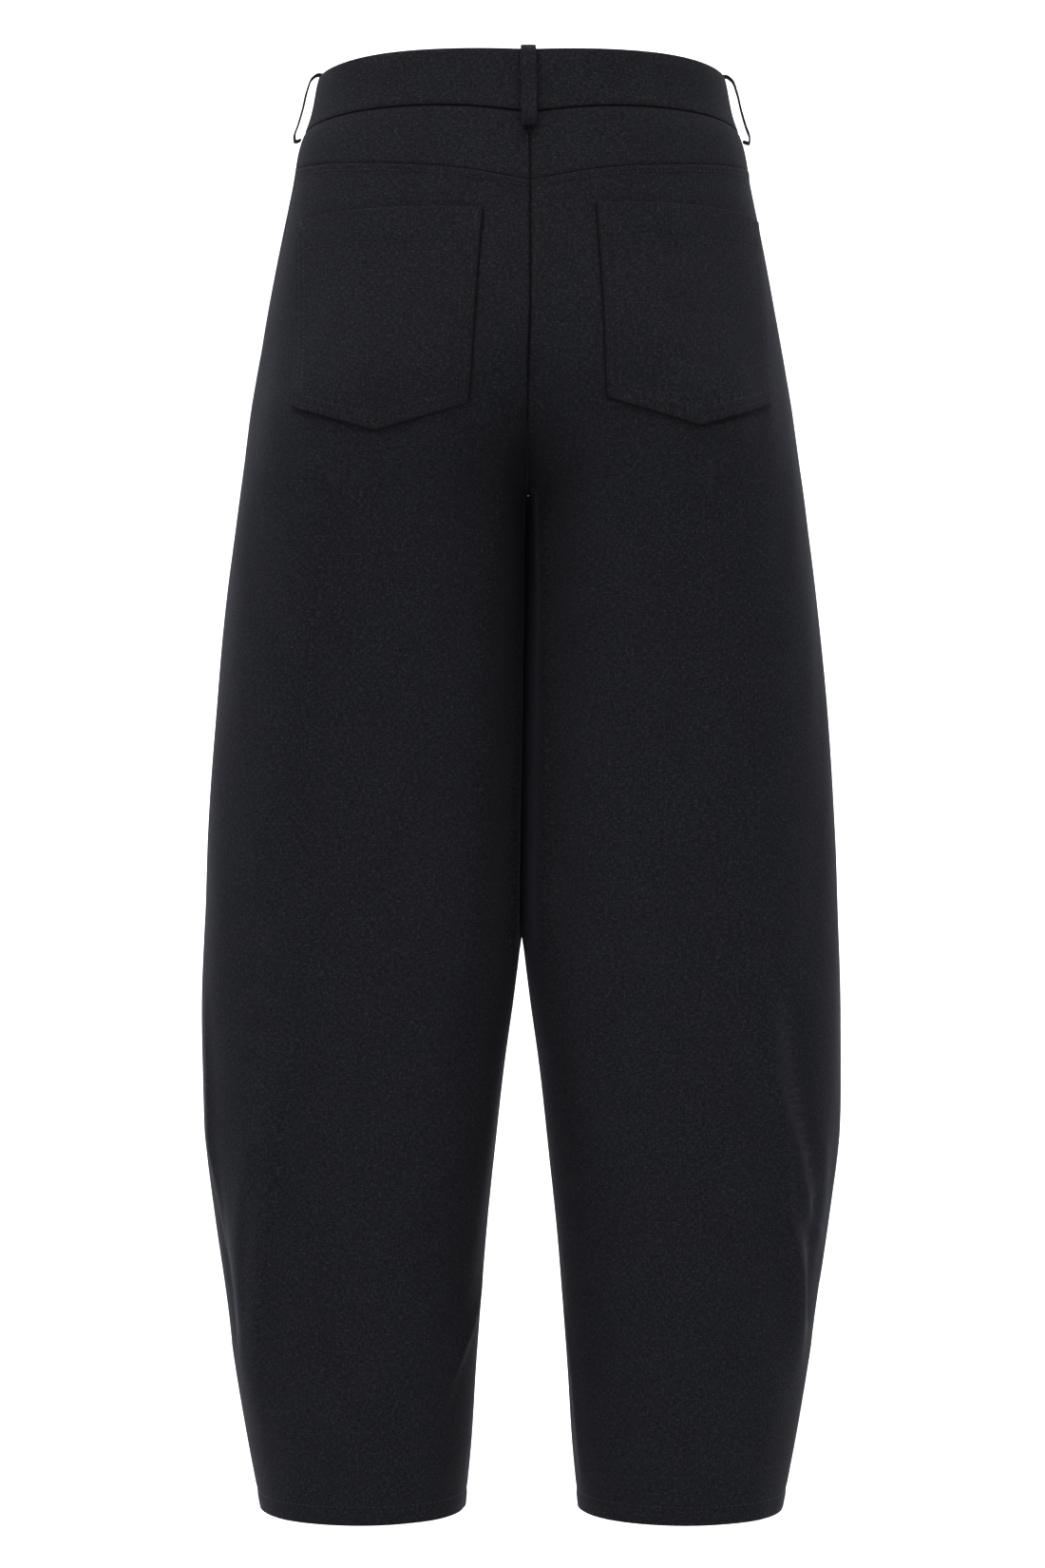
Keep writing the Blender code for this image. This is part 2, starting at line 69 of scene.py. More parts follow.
# split is 0 where both halves are one round body and 1 where each leg is closed. square is 2 for an
# ellipse. centre is where the centre seams lie, and sideBack how far behind the widest point the
# side seam lies.
sectionNames = (
    "height", "outer", "splitBack", "splitFront", "apart", "back", "front", "square", "centre", "sideBack",
)
sectionRows = np.array([
    (0.0320, 0.1340, 0.00, 0.00, 0.0000, 0.0985, 0.0965, 2.10, -0.0045, 0.010),
    (0.0211, 0.1363, 0.00, 0.00, 0.0000, 0.1000, 0.0980, 2.10, -0.0045, 0.012),
    (-0.0122, 0.1434, 0.00, 0.00, 0.0000, 0.1040, 0.1010, 2.10, -0.0050, 0.014),
    (-0.0237, 0.1482, 0.00, 0.00, 0.0000, 0.1060, 0.1025, 2.12, -0.0050, 0.015),
    (-0.0544, 0.1542, 0.00, 0.00, 0.0000, 0.1110, 0.1060, 2.15, -0.0055, 0.017),
    (-0.1056, 0.1645, 0.04, 0.02, 0.0000, 0.1200, 0.1120, 2.18, -0.0055, 0.018),
    (-0.1320, 0.1692, 0.12, 0.06, 0.0000, 0.1240, 0.1145, 2.20, -0.0055, 0.016),
    (-0.1568, 0.1734, 0.28, 0.14, 0.0000, 0.1262, 0.1170, 2.22, -0.0055, 0.012),
    (-0.1820, 0.1775, 0.54, 0.30, 0.0000, 0.1272, 0.1188, 2.25, -0.0052, 0.008),
    (-0.2080, 0.1818, 0.81, 0.58, 0.0000, 0.1266, 0.1200, 2.28, -0.0050, 0.005),
    (-0.2260, 0.1843, 0.915, 0.79, 0.0000, 0.1252, 0.1206, 2.29, -0.0048, 0.004),
    (-0.2420, 0.1864, 0.97, 0.93, 0.0000, 0.1236, 0.1208, 2.30, -0.0046, 0.003),
    (-0.2592, 0.1888, 1.00, 1.00, 0.0002, 0.1215, 0.1210, 2.32, -0.0044, 0.002),
    (-0.2800, 0.1916, 1.00, 1.00, 0.0003, 0.1185, 0.1205, 2.32, -0.0040, 0.000),
    (-0.3360, 0.1984, 1.00, 1.00, 0.0003, 0.1115, 0.1180, 2.32, -0.0032, 0.000),
    (-0.4128, 0.2054, 1.00, 1.00, 0.0003, 0.1050, 0.1120, 2.32, -0.0020, 0.000),
    (-0.4896, 0.2106, 1.00, 1.00, 0.0003, 0.1010, 0.1060, 2.32, -0.0010, 0.000),
    (-0.5408, 0.2125, 1.00, 1.00, 0.0003, 0.0988, 0.1015, 2.30, -0.0003, 0.000),
    (-0.5560, 0.2132, 1.00, 1.00, 0.0006, 0.0982, 0.1003, 2.294, -0.0001, 0.000),
    (-0.5920, 0.2144, 1.00, 1.00, 0.0045, 0.0970, 0.0975, 2.28, 0.0000, 0.000),
    (-0.6432, 0.2144, 1.00, 1.00, 0.0115, 0.0950, 0.0940, 2.26, 0.0000, 0.000),
    (-0.6944, 0.2131, 1.00, 1.00, 0.0173, 0.0925, 0.0912, 2.24, 0.0000, 0.000),
    (-0.7456, 0.2074, 1.00, 1.00, 0.0227, 0.0890, 0.0880, 2.22, 0.0000, 0.000),
    (-0.7968, 0.1997, 1.00, 1.00, 0.0269, 0.0848, 0.0838, 2.18, 0.0000, 0.000),
    (-0.8480, 0.1920, 1.00, 1.00, 0.0307, 0.0800, 0.0790, 2.14, 0.0000, 0.000),
    (-0.8992, 0.1837, 1.00, 1.00, 0.0339, 0.0745, 0.0730, 2.08, 0.0000, 0.000),
    (-0.9405, 0.1758, 1.00, 1.00, 0.0380, 0.0698, 0.0680, 2.04, 0.0000, 0.000),
])[::-1]
# the large folds: side, top, bottom, angle at the top and bottom, width in degrees, height.
# Angles go round the leg from 0 at its outer side to 90 at the back and -90 at the front.
largeFolds = (
    (1, -0.240, -0.640, 62.0, 67.0, 15.0, 0.0022),
    (1, -0.600, -0.880, 67.0, 34.0, 14.0, 0.0026),
    (-1, -0.270, -0.640, 72.0, 60.0, 15.0, 0.0022),
    (-1, -0.600, -0.850, 62.0, 30.0, 13.0, 0.0030),
    (-1, -0.650, -0.790, 50.0, 10.0, 10.0, 0.0026),
    (-1, -0.690, -0.830, 24.0, 16.0, 12.0, -0.0030),
    (1, -0.690, -0.830, 14.0, 12.0, 12.0, -0.0022),
    (1, -0.300, -0.700, -70.0, -62.0, 16.0, 0.0022),
    (-1, -0.280, -0.720, -66.0, -64.0, 16.0, 0.0022),
    (1, -0.660, -0.860, -58.0, -24.0, 13.0, 0.0026),
    (-1, -0.640, -0.840, -60.0, -28.0, 13.0, 0.0024),
)
# the finer creases: side, half (1 back, -1 front), height, width towards the side seam and
# towards the inseam, then height and place across the panel from its top to its bottom
fineCreases = (
    (1, 1, 0.0023, 0.013, 0.009, (
        (-0.130, 0.43), (-0.254, 0.40), (-0.370, 0.388), (-0.490, 0.388), (-0.610, 0.380),
    )),
    (1, 1, 0.0036, 0.016, 0.010, (
        (-0.520, 0.40), (-0.600, 0.40), (-0.642, 0.375), (-0.726, 0.338), (-0.834, 0.238), (-0.890, 0.20),
    )),
    (1, 1, -0.0020, 0.012, 0.026, ((-0.560, 0.46), (-0.650, 0.43), (-0.740, 0.39), (-0.860, 0.33))),
    (1, 1, 0.0017, 0.012, 0.006, ((-0.680, 0.30), (-0.740, 0.24), (-0.800, 0.20), (-0.850, 0.17))),
    (1, 1, -0.0032, 0.010, 0.014, ((-0.700, 0.14), (-0.750, 0.12), (-0.790, 0.12), (-0.830, 0.15))),
    (1, 1, 0.0023, 0.009, 0.006, ((-0.590, 0.11), (-0.650, 0.13), (-0.710, 0.135), (-0.770, 0.12))),
    (1, 1, 0.0026, 0.012, 0.007, (
        (-0.780, 0.97), (-0.806, 0.913), (-0.830, 0.825), (-0.866, 0.75), (-0.900, 0.70),
    )),
    (-1, 1, 0.0023, 0.009, 0.013, (
        (-0.150, 0.45), (-0.286, 0.438), (-0.414, 0.413), (-0.534, 0.375), (-0.630, 0.345),
    )),
    (-1, 1, 0.0044, 0.009, 0.014, (
        (-0.560, 0.37), (-0.642, 0.338), (-0.682, 0.333), (-0.726, 0.312), (-0.790, 0.225), (-0.850, 0.16),
    )),
    (-1, 1, -0.0032, 0.012, 0.008, ((-0.580, 0.29), (-0.650, 0.27), (-0.700, 0.23), (-0.740, 0.17))),
    (-1, 1, 0.0032, 0.006, 0.010, (
        (-0.644, 0.338), (-0.694, 0.288), (-0.718, 0.263), (-0.738, 0.225), (-0.762, 0.11),
    )),
    (-1, 1, -0.0043, 0.010, 0.010, ((-0.716, 0.20), (-0.745, 0.21), (-0.775, 0.18), (-0.815, 0.13))),
    (-1, 1, 0.0017, 0.010, 0.006, ((-0.800, 0.95), (-0.822, 0.915), (-0.870, 0.90), (-0.925, 0.885))),
    (1, -1, 0.0023, 0.022, 0.008, ((-0.150, 0.46), (-0.300, 0.44), (-0.480, 0.42), (-0.640, 0.40))),
    (1, -1, 0.0038, 0.028, 0.008, ((-0.560, 0.41), (-0.660, 0.38), (-0.750, 0.33), (-0.860, 0.22))),
    (1, -1, 0.0020, 0.010, 0.008, ((-0.720, 0.96), (-0.790, 0.86), (-0.860, 0.78))),
    (-1, -1, 0.0023, 0.010, 0.022, ((-0.160, 0.47), (-0.320, 0.43), (-0.500, 0.41), (-0.650, 0.37))),
    (-1, -1, 0.0041, 0.008, 0.024, ((-0.580, 0.40), (-0.670, 0.35), (-0.760, 0.29), (-0.850, 0.18))),
    (-1, -1, 0.0020, 0.010, 0.010, ((-0.700, 0.95), (-0.770, 0.84), (-0.850, 0.80))),
)
# the slow unevenness of hanging cloth: size, then waves a metre along X, Y and Z, then phase
slowWaves = (
    (0.00034, 92.0, 51.0, 13.0, 0.4),
    (0.00028, -61.0, 88.0, 22.0, 1.9),
    (0.00020, 37.0, -44.0, 47.0, 4.1),
    (0.00012, 151.0, 133.0, 31.0, 2.6),
)


def smoothThrough(where, knots, values):
    knots, values = np.asarray(knots, float), np.asarray(values, float)
    slopes = np.gradient(values, knots)
    i = np.clip(np.searchsorted(knots, where) - 1, 0, len(knots) - 2)
    span = knots[i + 1] - knots[i]
    u = (where - knots[i]) / span
    rise = values[i + 1] - values[i]
    curve = values[i] + u * u * (3 - 2 * u) * rise
    return curve + span * u * (1 - u) * ((1 - u) * slopes[i] - u * slopes[i + 1])


def smoothStep(value, low, high):
    t = np.clip((value - low) / (high - low), 0, 1)
    return t * t * (3 - 2 * t)


def halfSizes(row, side, half):
    line = side * row["centre"]
    split = min(row["splitBack"] if half > 0 else row["splitFront"], 1.0)
    inner = line + max(row["apart"], 0.0) - (1 - split) * row["outer"]
    depth = row["back"] if half > 0 else row["front"]
    return (row["outer"] + inner) / 2, (row["outer"] - inner) / 2, depth, line


def foldLift(side, z, angle):
    lift = np.zeros_like(angle)
    for foldSide, top, bottom, angleTop, angleBottom, width, height in largeFolds:
        if foldSide != side or not bottom < z < top:
            continue
        down = (top - z) / (top - bottom)
        away = (np.degrees(angle) - angleTop - down * (angleBottom - angleTop)) / width
        lift += height * math.sin(math.pi * down) ** 0.8 * np.exp(-away * away)
    return lift


# one half of a section, from beyond its widest point to beyond its centre seam or inseam
def traceHalf(side, half, z):
    row = {
        name: float(smoothThrough(z, sectionRows[:, 0], sectionRows[:, i]))
        for i, name in enumerate(sectionNames)
    }
    power = row["square"]
    middle, radius, depth, line = halfSizes(row, side, half)
    reach = np.clip((line + form["gap"] / 2.5 - middle) / radius, -1, 1)
    end = math.acos(np.sign(reach) * abs(reach) ** (power / 2))
    angle = np.concatenate([
        np.linspace(-form["pastSide"], 0, form["ringSteps"] // 6, endpoint=False),
        np.linspace(0, min(end + form["pastSide"] / 2, math.pi), form["ringSteps"]),
    ])
    c, s = np.cos(angle), np.sin(angle)
    c, s = np.sign(c) * np.abs(c) ** (2 / power), np.sign(s) * np.abs(s) ** (2 / power)
    otherMiddle, otherRadius, otherDepth, line = halfSizes(row, side, -half)
    x = np.where(angle >= 0, middle + radius * c, otherMiddle + otherRadius * c)
    y = half * np.where(angle >= 0, depth * s, otherDepth * s)
    alongX, alongY = np.gradient(x, angle), np.gradient(y, angle)
    size = np.hypot(alongX, alongY)
    outX, outY = half * alongY / size, -half * alongX / size
    lift = foldLift(side, z, half * angle)
    x, y = x + outX * lift, y + outY * lift
    length = np.concatenate([[0], np.cumsum(np.hypot(np.diff(x), np.diff(y)))])
    length -= np.interp(0, angle, length)
    start = half * (row["sideBack"] - line) + form["gap"] / 2
    stop = float(np.interp(end, angle, length)) - form["gap"] / 2.5
    where = start + np.linspace(form["acrossLow"], form["acrossHigh"], form["columns"]) * (stop - start)
    return [np.interp(where, length, values) for values in (x, y, outX, outY)], start, stop


def makeForm(side, half):
    heights = np.arange(form["lowest"], form["highest"], form["rowStep"])
    traces = [traceHalf(side, half, float(z)) for z in heights]
    return {
        "heights": heights,
        "grid": np.array([rows for rows, start, stop in traces]).transpose(1, 0, 2),
        "start": np.array([start for rows, start, stop in traces]),
        "stop": np.array([stop for rows, start, stop in traces]),
    }


forms = {(side, half): makeForm(side, half) for side in (1, -1) for half in (1, -1)}
print("form traced")


def panelWidth(side, half, z):
    table = forms[side, half]
    return np.interp(z, table["heights"], table["stop"] - table["start"])


def creaseLift(side, half, across, z):
    lift = np.zeros_like(across)
    for creaseSide, creaseHalf, height, widthOut, widthIn, knots in fineCreases:
        if (creaseSide, creaseHalf) != (side, half):
            continue
        heights, places = np.array(knots)[::-1].T
        down = np.clip((z - heights[0]) / (heights[-1] - heights[0]), 0, 1)
        ridge = smoothThrough(np.clip(z, heights[0], heights[-1]), heights, places)
        away = (across - ridge) * panelWidth(side, half, z)
        width = np.where(away < 0, widthOut, widthIn)
        lift += height * np.sin(math.pi * down) ** 0.7 * np.exp(-(away / width) ** 2)
    return lift


# a point of the dressed form: across is 0 at a panel's side seam and 1 at its centre seam or inseam
def garmentPoint(side, half, across, z, lift=0.0, creased=True):
    across, z = np.broadcast_arrays(np.asarray(across, float), np.asarray(z, float))
    table = forms[side, half]
    row = (z - form["lowest"]) / form["rowStep"]
    column = (across - form["acrossLow"]) / (form["acrossHigh"] - form["acrossLow"]) * (form["columns"] - 1)
    i = np.clip(row.astype(int), 0, len(table["heights"]) - 2)
    j = np.clip(column.astype(int), 0, form["columns"] - 2)
    a, b = row - i, column - j
    grid = table["grid"]
    low = grid[:, i, j] * (1 - b) + grid[:, i, j + 1] * b
    high = grid[:, i + 1, j] * (1 - b) + grid[:, i + 1, j + 1] * b
    x, y, outX, outY = low * (1 - a) + high * a
    if creased:
        calm = smoothStep(-z, *form["calm"])
        # creases and waves die out where a panel meets its neighbour, so that seams stay shut
        fade = form["seamFade"]
        atSeam = np.minimum(smoothStep(across, *fade), smoothStep(1 - across, *fade))
        waves = sum(
            size * np.sin(kx * side * x + ky * y + kz * z + phase) for size, kx, ky, kz, phase in slowWaves
        )
        lift = lift + atSeam * (creaseLift(side, half, across, z) + calm * waves)
        # where the legs touch, both inner walls weave alike, so that no light passes between them
        touching = smoothStep(-outX, 0.5, 0.98) * smoothStep(-z, *form["touchFrom"])
        touching = touching * smoothStep(z, *form["touchTo"])
        fork = smoothStep(across, 0.90, 1.0) * smoothStep(-z, *form["forkFrom"])
        fork = fork * smoothStep(z, *form["forkTo"])
        bend = touching * np.sin(math.tau * y / form["weaveRun"])
        bend = bend + form["forkBend"] * fork * half * smoothStep(np.abs(y), 0, 0.02)
        x = x + side * form["weave"] * bend
    return np.stack([side * (x + lift * outX), y + lift * outY, z], axis=-1)


# the seam lines: heights along a panel from its side seam to its centre seam
seamAcross = (0.0, 0.42, 0.80, 1.0)
bandTop = {1: (0.0195, 0.0232, 0.0226, 0.0214), -1: (0.0195, 0.0200, 0.0180, 0.0165)}
bandLow = {1: (-0.0180, -0.0138, -0.0160, -0.0205), -1: (-0.0180, -0.0180, -0.0200, -0.0215)}
yokeLow = (-0.0440, -0.0500, -0.0580, -0.0655)


def seamHeight(values, across):
    return smoothThrough(np.clip(across, 0.0, 1.0), seamAcross, values)


def linear(hexColour):
    parts = [int(hexColour[i:i + 2], 16) / 255 for i in (1, 3, 5)]
    return tuple(c / 12.92 if c <= 0.04045 else ((c + 0.055) / 1.055) ** 2.4 for c in parts) + (1.0,)


# adds a node with its settings, which are properties or unlinked inputs, and its links
def addNode(material, kind, settings=None, links=None):
    node = material.node_tree.nodes.new(kind)
    for key, value in (settings or {}).items():
        if key == "ramp":
            while len(node.color_ramp.elements) < len(value):
                node.color_ramp.elements.new(1.0)
            for element, (position, colour) in zip(node.color_ramp.elements, value):
                element.position, element.color = position, linear(colour)
        elif isinstance(key, int) or key in node.inputs:
            node.inputs[key].default_value = value
        else:
            setattr(node, key, value)
    for key, source in (links or {}).items():
        material.node_tree.links.new(source, node.inputs[key])
    return node


def newMaterial(name, settings):
    material = bpy.data.materials.new(name)
    material.use_nodes = True
    shader = material.node_tree.nodes["Principled BSDF"]
    for key, value in settings.items():
        shader.inputs[key].default_value = value
    return material, shader


# joins a colour and a fine relief to a material's shader
def paint(material, shader, colour, height, strength, distance):
    settings = {"Strength": strength, "Distance": distance}
    bump = addNode(material, "ShaderNodeBump", settings, {"Height": height})
    material.node_tree.links.new(colour, shader.inputs["Base Color"])
    material.node_tree.links.new(bump.outputs["Normal"], shader.inputs["Normal"])
    return material


# cloth noise in two dimensions, over a place that is scaled first
def clothNoise(material, place, scale, detail, roughness=0.5):
    scaled = addNode(material, "ShaderNodeMapping", {"Scale": scale}, {"Vector": place})
    settings = {"noise_dimensions": "2D", "Scale": 1.0, "Detail": detail, "Roughness": roughness}
    return addNode(
        material, "ShaderNodeTexNoise", settings, {"Vector": scaled.outputs["Vector"]}
    ).outputs["Fac"]


def ramp(material, stops, source):
    return addNode(material, "ShaderNodeValToRGB", {"ramp": stops}, {"Fac": source}).outputs["Color"]


# woven wool, piece dyed ink navy and lightly brushed: matt and almost black, with fine paler
# fibres in both thread directions and a soft bluish bloom where it turns away
wool = {
    "dark": "#121215",
    "middle": "#17181c",
    "fleck": "#27272d",
    "deepest": "#0c0c0f",
    "thread": 0.0009,  # a fleck's width: the threads are 0.5 mm, too fine to show in the render
    "threadRun": 0.0028,  # a fleck's length along its thread
    "cloud": 0.030,  # size of the slow changes in shade
    "nap": 0.0006,
}


def makeWool():
    material, shader = newMaterial("wovenWoolInk", {
        "Roughness": 0.93, "Specular IOR Level": 0.07,
        "Sheen Weight": 0.06, "Sheen Roughness": 0.30, "Sheen Tint": linear("#a4a9c0"),
    })
    place = addNode(material, "ShaderNodeUVMap", {"uv_map": "cloth"}).outputs["UV"]
    flecks = []
    for across, along in ((wool["thread"], wool["threadRun"]), (wool["threadRun"], wool["thread"])):
        flecks.append(clothNoise(material, place, (1 / across, 1 / along, 1), 1.5, 0.6))
    largest = {"operation": "MAXIMUM"}
    both = addNode(material, "ShaderNodeMath", largest, {0: flecks[0], 1: flecks[1]}).outputs[0]
    colour = ramp(material, (
        (0.36, wool["deepest"]), (0.50, wool["dark"]), (0.63, wool["middle"]), (0.80, wool["fleck"]),
    ), both)
    cloud = clothNoise(material, place, (1 / wool["cloud"], 1 / wool["cloud"], 1), 3.0)
    clouded = {"From Min": 0.3, "From Max": 0.7, "To Min": 0.95, "To Max": 1.05}
    shade = addNode(material, "ShaderNodeMapRange", clouded, {"Value": cloud}).outputs["Result"]
    # painted shade: cloth that rolls down into a seam or a sewn edge is painted a good deal darker, standing
    # in for the shadow that falls in the groove
    tuck = addNode(material, "ShaderNodeAttribute", {"attribute_name": "tuck"}).outputs["Fac"]
    paintedShadeFactor = addNode(
        material, "ShaderNodeMapRange", {"To Min": 1.0, "To Max": 0.12}, {"Value": tuck}
    ).outputs["Result"]
    # the slow random tone is multiplied by the painted seam shade
    shade = addNode(material, "ShaderNodeMath", {"operation": "MULTIPLY"}, {0: shade, 1: paintedShadeFactor}).outputs[0]
    toned = addNode(
        material, "ShaderNodeHueSaturation", {}, {"Value": shade, "Color": colour}
    ).outputs["Color"]
    nap = clothNoise(material, place, (1 / wool["nap"], 1 / wool["nap"], 1), 1.0)
    relief = addNode(material, "ShaderNodeMath", {"operation": "ADD"}, {0: both, 1: nap}).outputs[0]
    return paint(material, shader, toned, relief, 0.35, 0.0005)


# spun polyester sewing thread, dyed to the cloth: a little smoother than it, with a fine twist
def makeThread():
    material, shader = newMaterial("spunThreadInk", {
        "Roughness": 0.62, "Specular IOR Level": 0.20, "Sheen Weight": 0.05, "Sheen Tint": linear("#8f98b0"),
    })
    place = addNode(material, "ShaderNodeTexCoord").outputs["Object"]
    twisted = {"bands_direction": "DIAGONAL", "Scale": 1100.0, "Distortion": 1.5}
    twist = addNode(material, "ShaderNodeTexWave", twisted, {"Vector": place}).outputs["Fac"]
    colour = ramp(material, ((0.2, "#06070a"), (0.8, "#15161b")), twist)
    return paint(material, shader, colour, twist, 0.4, 0.0001)


# woven polyester zip tape, dyed near black: fine ribs that run along it
def makeTape():
    material, shader = newMaterial("wovenZipTape", {
        "Roughness": 0.8, "Specular IOR Level": 0.3, "Sheen Weight": 0.1,
    })
    place = addNode(material, "ShaderNodeUVMap", {"uv_map": "cloth"}).outputs["UV"]
    ribbed = {"bands_direction": "X", "Scale": 260.0, "Distortion": 0.6}
    ribs = addNode(material, "ShaderNodeTexWave", ribbed, {"Vector": place}).outputs["Fac"]
    colour = ramp(material, ((0.1, "#101015"), (0.9, "#24252c")), ribs)
    return paint(material, shader, colour, ribs, 0.5, 0.0002)


# nickel plated zinc, tumbled and darkened: a soft grey shine with faint rubbed patches
def makeNickel():
    material, shader = newMaterial("darkNickelPlate", {"Metallic": 1.0})
    place = addNode(material, "ShaderNodeTexCoord").outputs["Object"]
    worn = {"Scale": 700.0, "Detail": 3.0}
    rubbed = addNode(material, "ShaderNodeTexNoise", worn, {"Vector": place}).outputs["Fac"]
    colour = ramp(material, ((0.3, "#6b6b70"), (0.7, "#8a8a8f")), rubbed)
    rough = addNode(
        material, "ShaderNodeMapRange", {"To Min": 0.26, "To Max": 0.46}, {"Value": rubbed}
    ).outputs["Result"]
    material.node_tree.links.new(rough, shader.inputs["Roughness"])
    return paint(material, shader, colour, rubbed, 0.15, 0.0001)


# polyester resin button, turned and barrel polished: dark horn brown with paler drifts
def makeHorn():
    material, shader = newMaterial("polishedHornResin", {"Roughness": 0.28, "IOR": 1.53})
    place = addNode(material, "ShaderNodeTexCoord").outputs["Object"]
    leaning = {"Scale": (90.0, 90.0, 320.0), "Rotation": (0.0, 0.5, 0.0)}
    drawn = addNode(material, "ShaderNodeMapping", leaning, {"Vector": place}).outputs["Vector"]
    streaked = {"Scale": 1.0, "Detail": 4.0, "Distortion": 1.2}
    drift = addNode(material, "ShaderNodeTexNoise", streaked, {"Vector": drawn}).outputs["Fac"]
    colour = ramp(material, ((0.35, "#120f0e"), (0.55, "#2a211d"), (0.75, "#4f4036")), drift)
    return paint(material, shader, colour, drift, 0.05, 0.0001)


woolCloth, sewingThread, zipTape = makeWool(), makeThread(), makeTape()
nickel, hornResin = makeNickel(), makeHorn()
print("materials made")


def ridesAs(obj, slotName, *replaced):
    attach(obj, "root")
    if replaced:
        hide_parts(*replaced)
    return obj


# places from 0 to 1 along a length in metres, close together at the ends that have an edge
def spaced(length, count, first=True, last=True):
    near = np.array([0.0, 0.00022, 0.00055, 0.0010, 0.0017, 0.0028, 0.0044]) / length
    start = near if first else near[:1]
    end = near if last else near[:1]
    middle = np.linspace(start[-1], 1 - end[-1], count)
    return np.concatenate([start[:-1], middle, 1 - end[:-1][::-1]])


# a grid of points from place(u, v) with its cells' sizes: how the flat cut is measured
def flatCut(place):
    u, v = np.meshgrid(np.linspace(0, 1, 41), np.linspace(0, 1, 81))
    points = place(u, v)
    across = np.linalg.norm(np.diff(points, axis=1), axis=2).sum(axis=1)
    down = np.linalg.norm(np.diff(points, axis=0), axis=2).sum(axis=0)
    cells = np.cross(points[1:, :-1] - points[:-1, :-1], points[:-1, 1:] - points[:-1, :-1])
    return (float(across.max()), float(down.max())), float(np.linalg.norm(cells, axis=2).sum())


# how far a rounded edge of this radius draws back, at a distance from the edge
def rounded(distance, radius):
    t = 1 - np.clip(distance / radius, 0, 1)
    return radius * (1 - np.sqrt(1 - t * t))


cloths = []
# how each kind of edge rolls in, and how far from the edge the painted shade reaches that darkens its cloth
edging = {
    "seamReach": 0.0013,
    "seamPaintedShadeReach": 0.0008,
    "softDip": 0.00025,
    "softReach": 0.0012,
    "softPaintedShadeReach": 0.0006,
    # how dark the painted shade along a soft seam is
    "softPaintedShadeStrength": 0.35,
    "roundShare": 0.9,
    "pressedPaintedShadeReach": 0.0012,
    "legSeamFlat": (0.170, 0.200),  # depths between which the seam at the legs' inner side turns flat
    "slopeStep": 0.002,
    "shortPiece": 0.2,  # a longer piece takes its weave's place from its height
    "nextPiece": (0.37, 0.11),  # moves each piece to another part of the weave
}


